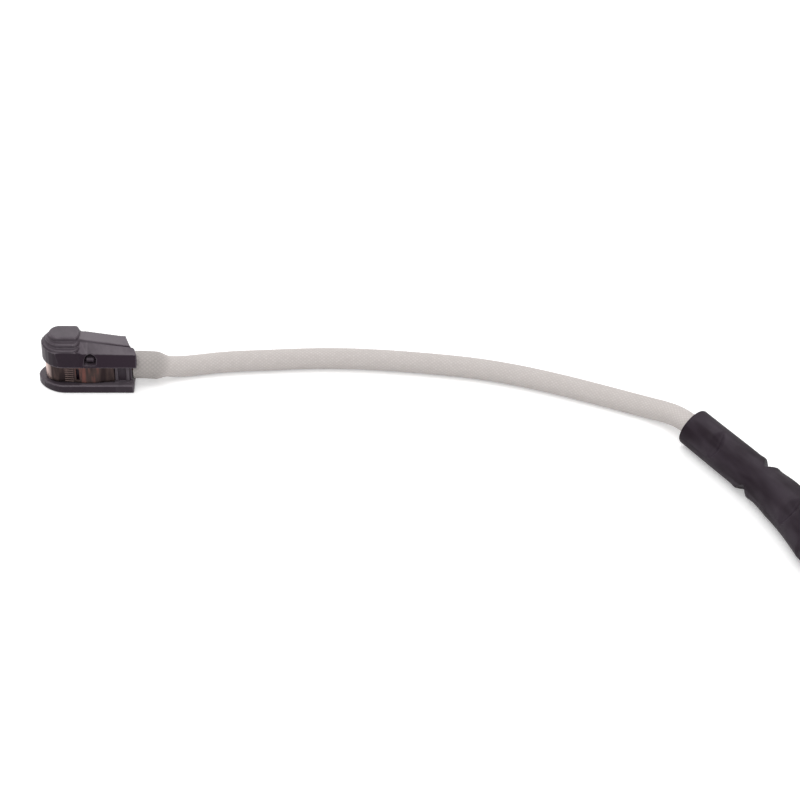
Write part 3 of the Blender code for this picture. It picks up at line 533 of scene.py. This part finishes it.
# %% The coil
COIL_CENTRE = np.array((200.2, -87.6)) * MM
COIL_START = math.radians(210.0)
COIL_TURNS = 2.0 + 150.0 / 360.0
POINTS_PER_TURN = 24
COIL_RADIUS = 26.2 * MM
COIL_SPIRAL = 4.6 * MM
COIL_BOTTOM = 3.0 * MM
COIL_CLIMB = 4.4 * MM


def ease(share):
    """0 to 1 with a soft start and a soft end: 3 s^2 - 2 s^3."""
    share = np.clip(share, 0.0, 1.0)
    return share * share * (3 - 2 * share)


def coil_points():
    """The wound stretch: an inward spiral below, a climb, and an outward spiral on top.

    The place on the floor is centre + radius * (cos, sin) of an angle that grows with the turns. The
    radius shrinks by COIL_SPIRAL over 1.04 turns and grows again from turn 1.3 to 2.15, and the height
    rises by COIL_CLIMB from turn 1.05 to 1.25."""
    turns = np.linspace(0.0, COIL_TURNS, round(COIL_TURNS * POINTS_PER_TURN) + 1)
    inward = COIL_RADIUS - COIL_SPIRAL * np.clip(turns / 1.04, 0.0, 1.0)
    radius = inward + COIL_SPIRAL * ease((turns - 1.3) / 0.85)
    height = COIL_BOTTOM + COIL_CLIMB * ease((turns - 1.05) / 0.2)
    angle = COIL_START + 2 * math.pi * turns
    flat = COIL_CENTRE + radius[:, None] * np.stack([np.cos(angle), np.sin(angle)], axis=1)
    return np.c_[flat, height]


sleeve_line = smooth_path(SLEEVE_ROUTE, 4.0 * MM)
boot_line = smooth_path(BOOT_ROUTE, 0.4 * MM)
lead_line = smooth_path(np.concatenate([LEAD_START, coil_points(), LEAD_END]), 3.0 * MM)

# %% [markdown]
# ## Braided sleeve
#
# The sleeve is a tube braided from pale, varnished yarns that wind both ways round it and pass over and
# under each other. It could be a smooth tube with a picture of a weave on it, but its outline would then
# be too clean, so the yarns are raised in the mesh itself. At the head it is drawn over a thicker collar.

# %% The braid's height
CARRIERS = 20
BRAID_LEAD = 20.0 * MM
YARN_HEIGHT = 0.1 * MM
ARCH_SHARE = 0.6
SWING_SHARE = 0.4


def braid_height(turns, along):
    """How far a point of the braid stands out, from 0 to 1.

    Two phases count the yarns that wind to the left and to the right. Across a yarn its height is a round
    arch. Along it, the height swings up and down once for every two yarns that it crosses. The higher of
    the two yarns shows."""
    left = CARRIERS * (turns + along / BRAID_LEAD)
    right = CARRIERS * (turns - along / BRAID_LEAD)
    arch_left = 1 - (2 * (left % 1.0) - 1) ** 2
    arch_right = 1 - (2 * (right % 1.0) - 1) ** 2
    swing_left = np.cos(math.pi * (right - 0.5)) * np.cos(math.pi * np.floor(left))
    swing_right = -np.cos(math.pi * (left - 0.5)) * np.cos(math.pi * np.floor(right))
    over_left = ARCH_SHARE * np.sqrt(arch_left) + SWING_SHARE * swing_left
    over_right = ARCH_SHARE * np.sqrt(arch_right) + SWING_SHARE * swing_right
    return np.maximum(over_left, over_right)


# %% The sleeve's surface
SLEEVE_COLUMNS = 120
SLEEVE_STEP = 0.2 * MM
COLLAR_RADIUS = 3.12 * MM
SLEEVE_RADIUS = 2.34 * MM
COLLAR_LENGTH = 5.0 * MM
NECK_LENGTH = 3.2 * MM


def sleeve_mesh():
    """The collar, its neck and the plain sleeve: radius = core + YARN_HEIGHT * braid height.

    The core eases from the collar's radius to the sleeve's over the neck."""
    line = smooth_path(SLEEVE_ROUTE, SLEEVE_STEP)
    run = run_along(line)
    neck = ease((run - COLLAR_LENGTH) / NECK_LENGTH)
    core = COLLAR_RADIUS - (COLLAR_RADIUS - SLEEVE_RADIUS) * neck
    turns = np.arange(SLEEVE_COLUMNS) / SLEEVE_COLUMNS
    radius = core[:, None] + YARN_HEIGHT * braid_height(turns[None, :], run[:, None])
    return grid_mesh("braid", rings(line, radius, turns), run)


# %% [markdown]
# ## The braid's colour
#
# The yarns' colour has to follow the raised yarns, so it is worked out from the same two phases, by a node
# group that reads the UV map. Each crossing has a slightly different tone, and each yarn shows its fine
# strands. A painted picture would do for one picture, but this stays sharp at any distance.


# %% Node groups
def new_group(name, inputs, outputs):
    """A shader node group with named sockets: inputs are (name, kind, value), outputs (name, kind).

    A value of None leaves a socket at its own default."""
    group = bpy.data.node_groups.new(name, "ShaderNodeTree")
    for label, kind, value in inputs:
        socket = group.interface.new_socket(
            name=label, in_out="INPUT", socket_type="NodeSocket" + kind
        )
        if value is not None:
            socket.default_value = value
    for label, kind in outputs:
        group.interface.new_socket(
            name=label, in_out="OUTPUT", socket_type="NodeSocket" + kind
        )
    return group, group.nodes.new("NodeGroupInput"), group.nodes.new("NodeGroupOutput")


def use_group(tree, group, vector, values):
    """Places a group in a material, feeds it coordinates and sets its values by their names."""
    node = tree.nodes.new("ShaderNodeGroup")
    node.node_tree = group
    link(tree, vector, node.inputs["Vector"])
    for label, value in values.items():
        node.inputs[label].default_value = value
    return node


# %% The braid's yarns as a node group
def build_yarns():
    """Masks that follow the yarns, from a UV map that holds turns round and metres along.

    The two phases are carriers * (turn +- along / lead). Gap is the lower of the two arches across the
    yarns, so it is 0 between them. Strand is the product of a cosine over each phase, with Strands waves
    to a yarn. Tone is a random number for each crossing."""
    group, given, result = new_group(
        "braid yarns",
        [
            ("Vector", "Vector", None),
            ("Carriers", "Float", 12.0),
            ("Lead", "Float", 0.012),
            ("Strands", "Float", 4.0),
        ],
        [("Strand", "Float"), ("Gap", "Float"), ("Tone", "Float")],
    )
    turn, along, _ = split_axes(group, given.outputs["Vector"])
    wound = math_node(group, "DIVIDE", along, given.outputs["Lead"])
    crossing = group.nodes.new("ShaderNodeCombineXYZ")
    arches = []
    waves = []
    for operation, axis in (("ADD", "X"), ("SUBTRACT", "Y")):
        turned = math_node(group, operation, turn, wound)
        phase = product(group, turned, given.outputs["Carriers"])
        centred = math_node(group, "SUBTRACT", math_node(group, "FRACT", phase), 0.5)
        arches.append(
            math_node(group, "MULTIPLY_ADD", product(group, centred, centred), -4.0, 1.0)
        )
        fine = product(group, phase, given.outputs["Strands"], 2 * math.pi)
        waves.append(math_node(group, "COSINE", fine))
        link(group, math_node(group, "FLOOR", phase), crossing.inputs[axis])
    tone = group.nodes.new("ShaderNodeTexWhiteNoise")
    link(group, crossing.outputs[0], tone.inputs["Vector"])
    link(group, product(group, *waves), result.inputs["Strand"])
    link(group, math_node(group, "MINIMUM", *arches), result.inputs["Gap"])
    link(group, tone.outputs["Value"], result.inputs["Tone"])
    return group


BRAID_YARNS = build_yarns()
print("group", BRAID_YARNS.name, "with", len(BRAID_YARNS.nodes), "nodes")


# %% The sleeve's material
def sleeve_material():
    """Pale varnished yarns: each crossing has its tone, the gaps are darker with painted shade, and the
    collar is darker too.

    The collar's colours fade out between 4.5 and 8.5 mm along the sleeve."""
    material, tree, shader, coordinates = new_material(
        "pale braid", (0.6, 0.565, 0.55), 0.62, 0.0, 0.35
    )
    uv = coordinates.outputs["UV"]
    yarns = use_group(
        tree, BRAID_YARNS, uv, {"Carriers": float(CARRIERS), "Lead": BRAID_LEAD}
    )
    tone = yarns.outputs["Tone"]
    gap = yarns.outputs["Gap"]
    pale = mix_colours(tree, tone, (0.62, 0.575, 0.555), (0.68, 0.635, 0.615))
    # Painted shade: the gaps between the yarns are darker.
    plain = mix_colours(tree, gap, (0.56, 0.515, 0.495), pale)
    collar = mix_colours(tree, gap, (0.36, 0.335, 0.32), (0.45, 0.415, 0.4))
    _, along, _ = split_axes(tree, uv)
    past_collar = soft_step(tree, along, 4.5 * MM, 8.5 * MM)
    link(tree, mix_colours(tree, past_collar, collar, plain), shader.inputs["Base Color"])
    set_range(tree, tone, 0.55, 0.7, shader.inputs["Roughness"])
    bump(tree, yarns.outputs["Strand"], 0.02 * MM, shader)
    return material


sleeve = show("sleeve_braid", sleeve_mesh(), sleeve_material())
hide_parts("braided_sleeve")

# %% [markdown]
# ## The grain of a mould
#
# Moulded plastic and rubber take over the fine grain of their mould, which is cut by sparks. Fine grain
# is too small for a mesh, so it is a Bump node over a noise. A wider, cloudy noise makes the surface a
# little uneven in colour and gloss. Several finishes share both, so they are a node group, built once.


# %% The mould's grain
def build_mould_grain():
    """Two noises over the coordinates divided by Grain Size, which is in metres.

    Height is the fine one, and Cloud's swells are 25 times as wide."""
    group, given, result = new_group(
        "mould grain",
        [("Vector", "Vector", None), ("Grain Size", "Float", 0.0001)],
        [("Height", "Float"), ("Cloud", "Float")],
    )
    size = group.nodes.new("ShaderNodeCombineXYZ")
    for socket in size.inputs:
        link(group, given.outputs["Grain Size"], socket)
    scaled = group.nodes.new("ShaderNodeVectorMath")
    scaled.operation = "DIVIDE"
    link(group, given.outputs["Vector"], scaled.inputs[0])
    link(group, size.outputs[0], scaled.inputs[1])
    link(group, noise(group, scaled.outputs[0], 2.0), result.inputs["Height"])
    link(group, noise(group, scaled.outputs[0], 4.0, 0.04), result.inputs["Cloud"])
    return group


MOULD_GRAIN = build_mould_grain()
print("group", MOULD_GRAIN.name, "with", len(MOULD_GRAIN.nodes), "nodes")


def add_grain(tree, shader, coordinates, size, depth, roughness, normal=None):
    """Dents a shader with the grain's height and sets its roughness by the cloud, which is given back.

    roughness holds two values, for a cloud of 0 and of 1."""
    grain = use_group(tree, MOULD_GRAIN, coordinates.outputs["Object"], {"Grain Size": size})
    low, high = roughness
    set_range(tree, grain.outputs["Cloud"], low, high, shader.inputs["Roughness"])
    bump(tree, grain.outputs["Height"], depth, shader, normal)
    return grain.outputs["Cloud"]


# %% [markdown]
# ## Rubber boot
#
# The boot is a moulded rubber tube that covers the joint between the two thin wires and the lead. Pairs
# of press marks, each pair turned by 90 degrees from the last, hold it on the ferrules inside. The tool
# stood a little askew, so the marks slant, and the mouth is cut askew too. Cutting the marks with Boolean
# would leave sharp rims, so the radius itself dips there. The profile is carried along the boot's bent
# line: out of the recess at the mouth, over the lip, along the body to the flare, and down the ribbed
# taper at the tail.

# %% The boot's profile, in millimetres
BOOT_TOTAL = run_along(boot_line)[-1] / MM
BOOT_RADIUS = 4.45
LIP_LENGTH = 0.5
LIP_FALL = 0.35
BODY_LENGTH = 26.0
BODY_GROWTH = 0.15
FLARE_LENGTH = 7.0
FLARE_GROWTH = 0.5
TAPER_START = 48.0
TAPER_FALL = 1.8
RIBS = 4
RIB_PITCH = 3.2
RIB_DEPTH = 0.45


def boot_radius(run):
    """The outside's radius at a distance from the mouth, before the press marks.

    It rises from the lip with a square root, grows evenly along the body, eases out to the flare and
    falls evenly along the taper. The ribs are what is left between grooves, each a cosine cut off flat."""
    radius = BOOT_RADIUS - LIP_FALL * (1 - np.sqrt(np.clip(run / LIP_LENGTH, 0, 1)))
    radius = radius + BODY_GROWTH * np.clip(run / BODY_LENGTH, 0, 1)
    radius = radius + FLARE_GROWTH * ease((run - BODY_LENGTH) / FLARE_LENGTH)
    taper = (run - TAPER_START) / (BOOT_TOTAL - TAPER_START)
    radius = radius - TAPER_FALL * np.clip(taper, 0, 1)
    wave = 0.5 - 0.5 * np.cos(2 * math.pi * (run - TAPER_START) / RIB_PITCH)
    ribbed = (run > TAPER_START) & (run < TAPER_START + RIBS * RIB_PITCH)
    return radius - np.where(ribbed, RIB_DEPTH * np.clip(1.6 * wave, 0, 1), 0.0)


# %% The press marks: millimetres from the mouth, turn round the boot, and how far the tool leant
PRESS_MARKS = ((9.6, 0.0, -0.9), (22.7, 0.25, 0.7), (38.0, 0.0, -0.6))
PRESS_TILT = 38.0 / 360.0
PRESS_SLANT = 1.9
PRESS_DEPTH = 1.35
PRESS_FLAT = 0.3
PRESS_RAMP = 1.7
SWELL_HEIGHT = 0.12
SWELL_AWAY = 2.4
SWELL_WIDTH = 0.8


def pressed_angle(turns, turn=0.0):
    """The angle round the boot from its near upper side, which the first mark faces, or from a turn on."""
    return 2 * math.pi * (turns - turn + 0.25 - PRESS_TILT)


def press_marks(radius, run, turns):
    """Flattens the outside at each pair of marks.

    A flat tool at distance d from the line leaves a radius of at most d / cos(angle from the tool). d falls
    by PRESS_DEPTH in a short V along the boot, and the rubber beside it swells a little. The tool stood
    askew, so the V moves along the boot with the cosine and the sine of the angle round it."""
    pressed = np.broadcast_to(radius[:, None], (len(run), len(turns))).copy()
    for at, turn, lean in PRESS_MARKS:
        phase = pressed_angle(turns)
        slant = PRESS_SLANT * np.cos(phase) - lean * np.sin(phase)
        away = np.abs((run - at)[:, None] - slant[None, :])
        depth = PRESS_DEPTH * np.clip(1 - (away - PRESS_FLAT) / PRESS_RAMP, 0, 1)
        facing = np.abs(np.cos(pressed_angle(turns[None, :], turn)))
        limit = (radius[:, None] - depth) / np.maximum(facing, 0.2)
        swell = SWELL_HEIGHT * np.exp(-(((away - SWELL_AWAY) / SWELL_WIDTH) ** 2)) * facing**4
        pressed = np.where(depth > 0, np.minimum(pressed, limit), pressed) + swell
    return pressed


# %% The boot's surface
BOOT_COLUMNS = 72
BOOT_ROWS = 260
RECESS_RADIUS = 2.92
RECESS_RUN = (2.0, 2.0, 1.2, 0.25, 0.0)
RECESS_GROWTH = (-1.72, 0.0, 0.0, 0.0, 0.2)
TAIL_RADII = (2.9, 2.2)
MOUTH_SCOOP = 1.3
SCOOP_LENGTH = 7.0


def all_round(radii):
    """The same radius in every column, for each row."""
    return np.repeat(np.array(radii)[:, None], BOOT_COLUMNS, axis=1)


def boot_mesh():
    """Rows that start in the recess, come out over the lip, and follow the outside to the tail.

    Point = line + radius * spoke + scoop * the mouth's tangent. The scoop cuts the mouth askew: it pushes
    the near upper side back by up to MOUTH_SCOOP, and fades out with a square over SCOOP_LENGTH."""
    turns = np.arange(BOOT_COLUMNS) / BOOT_COLUMNS
    run = run_along(boot_line) / MM
    lip = LIP_LENGTH * (1 - np.cos(np.linspace(0, math.pi / 2, 5)))
    outside = np.unique(np.r_[lip, np.linspace(0.0, run[-1], BOOT_ROWS)])
    along = np.r_[RECESS_RUN, outside, np.full(len(TAIL_RADII), run[-1])]
    recess = all_round(RECESS_RADIUS + np.array(RECESS_GROWTH))
    skin = press_marks(boot_radius(outside), outside, turns)
    radius = np.concatenate([recess, skin, all_round(TAIL_RADII)])
    tangent, side, up = level_frames(boot_line)
    out = spokes(unit(sampled(side, run, along)), unit(sampled(up, run, along)), turns)
    facing = np.clip(np.cos(pressed_angle(turns)), 0, 1)
    fading = np.clip(1 - along / SCOOP_LENGTH, 0, 1) ** 2
    scoop = MOUTH_SCOOP * fading[:, None] * facing[None, :]
    line = sampled(boot_line, run, along)
    grid = line[:, None] + MM * (radius[:, :, None] * out + scoop[:, :, None] * tangent[0])
    travelled = np.cumsum(np.r_[0, np.abs(np.diff(along))]) * MM
    return grid_mesh("boot", grid, travelled)


# %% The boot's material
def boot_material():
    """Matte rubber, dark, with paler streaks along it that are painted highlights.

    The streaks are a noise over the UV map, with 7 swells to a turn and 60 to a metre."""
    material, tree, shader, coordinates = new_material(
        "matte boot rubber", (0.02, 0.014, 0.02), 0.6, 0.0, 0.13
    )
    add_grain(tree, shader, coordinates, 0.12 * MM, 0.012 * MM, (0.54, 0.74))
    # Painted highlights: paler streaks along the boot, from a noise stretched along it.
    streaks = noise(tree, stretched(tree, coordinates.outputs["UV"], (7.0, 60.0, 1.0)), 2.0)
    streak_highlights = soft_step(tree, streaks, 0.35, 0.7)
    colour = mix_colours(tree, streak_highlights, (0.012, 0.0065, 0.011), (0.036, 0.027, 0.036))
    link(tree, colour, shader.inputs["Base Color"])
    return material


boot = show("boot_rubber", boot_mesh(), boot_material())
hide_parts("rubber_boot")

# %% [markdown]
# ## Jacketed lead
#
# The lead is a plain round rubber jacket, 4.2 mm thick. The CAD model holds it as three plain stretches,
# with a closed ring for the coil. Here it is one tube along the whole line, as it really lies: from the
# boot, more than twice round the coil and on to the connector.

# %% The lead
LEAD_RADIUS = 2.1 * MM
LEAD_COLUMNS = 20
LEAD_STEP = 1.6 * MM


def lead_mesh():
    """A round tube: rings of LEAD_RADIUS along the lead's line."""
    line = evenly(lead_line, LEAD_STEP)
    turns = np.arange(LEAD_COLUMNS) / LEAD_COLUMNS
    return grid_mesh("lead", rings(line, LEAD_RADIUS, turns), run_along(line))


def lead_material():
    """Black rubber, from dark to a little lighter with the grain's cloud."""
    material, tree, shader, coordinates = new_material(
        "black lead jacket", (0.015, 0.012, 0.015), 0.5, 0.0, 0.3
    )
    cloud = add_grain(tree, shader, coordinates, 0.2 * MM, 0.008 * MM, (0.4, 0.6))
    colour = mix_colours(tree, cloud, (0.01, 0.007, 0.0095), (0.022, 0.018, 0.0215))
    link(tree, colour, shader.inputs["Base Color"])
    return material


lead = show("lead_jacket", lead_mesh(), lead_material())
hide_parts("lead_run", "lead_coil", "lead_tail")

# %% [markdown]
# ## What the two cords are
#
# The sleeve and the lead are soft on the real object. This step only prints their names.

# %% Print the two cords' names
print("cords:", sleeve.name, "and", lead.name)

# %% [markdown]
# ## Finishes of the CAD pieces
#
# The connector, its seals, the tie, the wires, the contacts and the clip keep the CAD model's own shapes
# and only get a finish. Their edges are sharp. A Bevel modifier could round them, but Cycles' Bevel node
# does it in the shading, with no change to the mesh, so that the plastic edges catch the light.


# %% Plain plastics and metals
def edge_normal(tree, radius):
    """A normal that is averaged over the surface within a radius, as on a rounded edge."""
    node = tree.nodes.new("ShaderNodeBevel")
    node.samples = 6
    node.inputs["Radius"].default_value = radius
    return node.outputs["Normal"]


def moulded_plastic(name, dark, light, roughness, radius=0.18 * MM, specular=0.4):
    """Plastic or rubber: from dark to light with the grain's cloud, and with rounded edges."""
    material, tree, shader, coordinates = new_material(name, light, roughness, 0.0, specular)
    spread = (roughness - 0.08, roughness + 0.1)
    rounded = edge_normal(tree, radius)
    cloud = add_grain(tree, shader, coordinates, 0.09 * MM, 0.01 * MM, spread, rounded)
    link(tree, mix_colours(tree, cloud, dark, light), shader.inputs["Base Color"])
    return material


def bare_metal(name, dark, light, roughness):
    """Metal: from dark to light with the grain's cloud, and rougher where its height is larger."""
    material, tree, shader, coordinates = new_material(name, light, roughness, 1.0)
    grain = use_group(
        tree, MOULD_GRAIN, coordinates.outputs["Object"], {"Grain Size": 0.06 * MM}
    )
    colour = mix_colours(tree, grain.outputs["Cloud"], dark, light)
    link(tree, colour, shader.inputs["Base Color"])
    set_range(
        tree, grain.outputs["Height"], roughness - 0.1, roughness + 0.1, shader.inputs["Roughness"]
    )
    return material


# %% [markdown]
# ## The clip's bronze
#
# The clip is a bare spring strip. Its bronze colour is darkened with painted shade, as it lies in the
# cover's shade, and it has painted copper-red glints in upright patches, a painted highlight where it is
# bent round the nose, and painted highlights on a short row of pressed ribs. A noise that is stretched
# upwards picks the patches, which looks more alive than one even colour, and the ribs are too fine for the
# mesh.

# %% The clip's bronze
BEND_START_X = -8.2 * MM
BEND_FULL_X = -9.6 * MM
CLIP_RIBS_X = (-5.2 * MM, -3.2 * MM)
CLIP_RIB_PITCH = 0.62 * MM
# Painted shade and painted glints: dark browns for the clip in the cover's shade, and copper red for
# glints.
SHADE_AND_GLINTS = (
    (0.42, (0.026, 0.018, 0.019, 1.0)),
    (0.58, (0.056, 0.039, 0.037, 1.0)),
    (0.72, (0.165, 0.067, 0.056, 1.0)),
)


def shade_and_glints(tree, patches):
    """A colour ramp over the patches' noise: painted shade in dark brown and brown, and painted copper-red
    glints, at the places in the ramp's table.
    """
    node = tree.nodes.new("ShaderNodeValToRGB")
    first, middle, last = SHADE_AND_GLINTS
    stops = node.color_ramp.elements
    for stop, (position, colour) in zip(stops, (first, last)):
        stop.position = position
        stop.color = colour
    stops.new(middle[0]).color = middle[1]
    link(tree, patches, node.inputs["Fac"])
    return node.outputs["Color"]


def spring_bronze():
    """Bronze strip darkened by painted shade, with painted glints in patches, a painted highlight on the
    bend and painted highlights on the ribs.

    The bend is an even ramp along X. The ribs are a sine wave up the strip, between two places on X."""
    material, tree, shader, coordinates = new_material(
        "spring bronze", (0.06, 0.04, 0.03), 0.38, 1.0
    )
    place = coordinates.outputs["Object"]
    x, _, z = split_axes(tree, place)
    upright = stretched(tree, place, (520.0, 260.0, 90.0), (1.7, 0.0, 0.0))
    patches = noise(tree, upright, 3.0)
    bend = tree.nodes.new("ShaderNodeMapRange")
    bend.inputs["From Min"].default_value = BEND_START_X
    bend.inputs["From Max"].default_value = BEND_FULL_X
    link(tree, x, bend.inputs["Value"])
    # Painted highlight: pale colour on the bend round the nose.
    painted_bronze = mix_colours(tree, bend.outputs["Result"], shade_and_glints(tree, patches), (0.6, 0.45, 0.41))
    ahead = math_node(tree, "GREATER_THAN", x, CLIP_RIBS_X[0])
    behind = math_node(tree, "LESS_THAN", x, CLIP_RIBS_X[1])
    ribbed = product(tree, ahead, behind)
    wave = math_node(tree, "SINE", product(tree, z, 2 * math.pi / CLIP_RIB_PITCH))
    # Painted highlights: lighter lines on the pressed ribs.
    rib_highlights = product(tree, ribbed, math_node(tree, "MULTIPLY_ADD", wave, 0.2, 0.3))
    link(tree, mix_colours(tree, rib_highlights, painted_bronze, (0.2, 0.14, 0.13)), shader.inputs["Base Color"])
    bump(tree, product(tree, ribbed, wave), 0.06 * MM, shader)
    set_range(tree, patches, 0.28, 0.5, shader.inputs["Roughness"])
    return material


# %% Each CAD piece gets its finish
finishes = {
    "retaining_clip": spring_bronze(),
    "wear_loop": bare_metal("copper wire", (0.7, 0.3, 0.18), (0.85, 0.45, 0.3), 0.3),
    "crimp_a": bare_metal("tin plate", (0.55, 0.55, 0.54), (0.75, 0.75, 0.73), 0.35),
    "wire_tail_a": moulded_plastic(
        "red core insulation", (0.42, 0.04, 0.03), (0.52, 0.07, 0.05), 0.45
    ),
    "connector_housing": moulded_plastic(
        "satin connector plastic", (0.009, 0.0075, 0.009), (0.02, 0.0175, 0.02), 0.4, 0.25 * MM, 0.3
    ),
    "terminal_lock": moulded_plastic(
        "grey lock plastic", (0.4, 0.38, 0.35), (0.47, 0.45, 0.42), 0.5
    ),
    "wire_seal": moulded_plastic("silicone seal", (0.3, 0.07, 0.03), (0.4, 0.11, 0.06), 0.55),
    "coil_tie": moulded_plastic("strap plastic", (0.02, 0.017, 0.02), (0.034, 0.03, 0.034), 0.5),
}
same_as = {
    "crimp_b": "crimp_a",
    "pin_a": "crimp_a",
    "pin_b": "crimp_a",
    "wire_tail_b": "wire_tail_a",
    "connector_cap": "connector_housing",
    "face_seal": "wire_seal",
}
for name, like in same_as.items():
    finishes[name] = finishes[like]
for name, finish in finishes.items():
    slots = nodes[name].material_slots
    for slot in slots:
        slot.material = finish
    print(name, "wears", finish.name, "in", len(slots), "slots")

# %% [markdown]
# ## The head's plastic
#
# The head is moulded in black, glass-filled nylon: satin, with a fine grain. A grey painted sheen is mixed
# into its colour: painted highlights on the faces that look up, along the rims and on the ends, while the
# near wall stays almost black. The sheen could be painted by hand. Here it comes from masks over the
# surface's direction, its sharpness and its place, so that it follows the shape.


# %% Where the painted sheen lies
def head_painted_sheen(tree, coordinates):
    """How strong the grey painted sheen is: the largest of several soft masks, each times a share.

    upwards: faces that look up, half as strong on top of the round nose. endwards: faces that look along
    X. edge: the flange's upper edge. rims: sharp convex edges, but for the cover's seam in the wall.
    fronts: the front of the shoulders. steps: the tiers. rear: the core's rear end. flange: all of the
    flange, faintly. Each mask places painted highlights. In the snap's window the painted sheen is weaker,
    as painted shade."""
    surface = tree.nodes.new("ShaderNodeNewGeometry")
    facing_x, _, facing_z = split_axes(tree, surface.outputs["Normal"])
    x, y, z = split_axes(tree, coordinates.outputs["Object"])
    # Painted sheen: grey painted highlights where light falls, on the faces that look up, the ends, the
    # rims, the flange's upper edge and the tiers.
    level = soft_step(tree, facing_z, 0.5, 0.8)
    past_nose = soft_step(tree, x, -2.4 * MM, -0.8 * MM)
    painted_sheen = product(tree, level, math_node(tree, "MULTIPLY_ADD", past_nose, 0.55, 0.5))
    endwards = soft_step(tree, math_node(tree, "ABSOLUTE", facing_x), 0.55, 1.0)
    side = soft_step(tree, math_node(tree, "ABSOLUTE", y), 4.85 * MM, 5.05 * MM)
    edge = product(tree, side, band(tree, z, (1.9, 2.05, 2.5, 2.9)))
    seam = product(
        tree, band(tree, x, (-3.9, -3.6, -1.4, -1.1)), band(tree, z, (7.4, 7.7, 11.0, 11.4))
    )
    sharp = soft_step(tree, surface.outputs["Pointiness"], 0.504, 0.522)
    rims = product(tree, sharp, math_node(tree, "SUBTRACT", 1.0, seam))
    fronts = product(tree, level, band(tree, x, (-1.7, -0.9, 0.1, 0.9)))
    steps = soft_step(tree, z, 11.0 * MM, 12.0 * MM)
    below_cover = soft_step(tree, z, 7.0 * MM, 6.6 * MM)
    rear = product(tree, soft_step(tree, x, 6.0 * MM, 6.6 * MM), below_cover)
    flange = soft_step(tree, z, 2.9 * MM, 2.5 * MM)
    patches = (
        (endwards, 0.65),
        (edge, 1.1),
        (rims, 0.9),
        (fronts, 1.8),
        (steps, 0.6),
        (rear, 0.25),
        (flange, 0.12),
    )
    for patch, share in patches:
        painted_sheen = math_node(tree, "MAXIMUM", painted_sheen, product(tree, patch, share))
    # Painted shade: the painted sheen is made weaker inside the snap's window.
    shaded_window = product(
        tree, band(tree, x, (-1.2, -0.8, 2.2, 2.6)), band(tree, z, (7.0, 7.4, 9.8, 10.2))
    )
    return product(tree, painted_sheen, math_node(tree, "MULTIPLY_ADD", shaded_window, -0.65, 1.0))


# %% The head's material
def head_plastic():
    """Satin black nylon: black mixed with grey by painted sheen * (cloud + 0.45), so that the painted
    highlights are uneven.
    """
    material, tree, shader, coordinates = new_material(
        "satin head plastic", (0.012, 0.006, 0.012), 0.42, 0.0, 0.2
    )
    cloud = add_grain(tree, shader, coordinates, 0.09 * MM, 0.008 * MM, (0.36, 0.5))
    uneven = math_node(tree, "ADD", cloud, 0.45)
    # Painted sheen: grey highlights mixed into the black, made uneven by the grain's cloud.
    painted_sheen = product(tree, head_painted_sheen(tree, coordinates), uneven)
    colour = mix_colours(tree, painted_sheen, (0.0115, 0.0035, 0.0105), (0.108, 0.09, 0.105))
    link(tree, colour, shader.inputs["Base Color"])
    return material


HEAD_PLASTIC = head_plastic()
print("material", HEAD_PLASTIC.name, "with", len(HEAD_PLASTIC.node_tree.nodes), "nodes")

# %% [markdown]
# ## The head's two mouldings
#
# A moulded part has no sharp edges: its steps run into each other in small rounds, and its faces are
# never quite flat. A Bevel modifier can't do that where many small steps meet, so each moulding is
# rebuilt from the CAD piece on an even grid of small cells, and then smoothed a little. That rounds every
# edge by about a cell.

# %% Softened mouldings
MOULDING_CELL = 0.12 * MM
SMOOTHING_ROUNDS = 4


def softened(name, source):
    """A moulding with soft edges: the CAD piece's triangles joined, rebuilt on cells, and smoothed.

    Each round of smoothing moves every point half of the way to the mean of its neighbours."""
    joined = bmesh.new()
    joined.from_mesh(nodes[source].data)
    bmesh.ops.remove_doubles(joined, verts=joined.verts, dist=0.001 * MM)
    mesh = bpy.data.meshes.new(name)
    joined.to_mesh(mesh)
    joined.free()
    mesh.transform(nodes[source].matrix_world)
    rough = bpy.data.objects.new(name, mesh)
    scene.collection.objects.link(rough)
    rebuild = rough.modifiers.new("rebuild", "REMESH")
    rebuild.mode = "VOXEL"
    rebuild.voxel_size = MOULDING_CELL
    soften = rough.modifiers.new("soften", "SMOOTH")
    soften.factor = 0.5
    soften.iterations = SMOOTHING_ROUNDS
    bpy.context.view_layer.update()
    shown = rough.evaluated_get(bpy.context.evaluated_depsgraph_get())
    finished = bpy.data.meshes.new_from_object(shown)
    bpy.data.objects.remove(rough, do_unlink=True)
    finished.name = name
    finished.materials.clear()
    finished.shade_smooth()
    piece = show(name, finished, HEAD_PLASTIC)
    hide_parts(source)


softened("head_cover", "sensor_cover")
softened("head_base", "sensor_base")
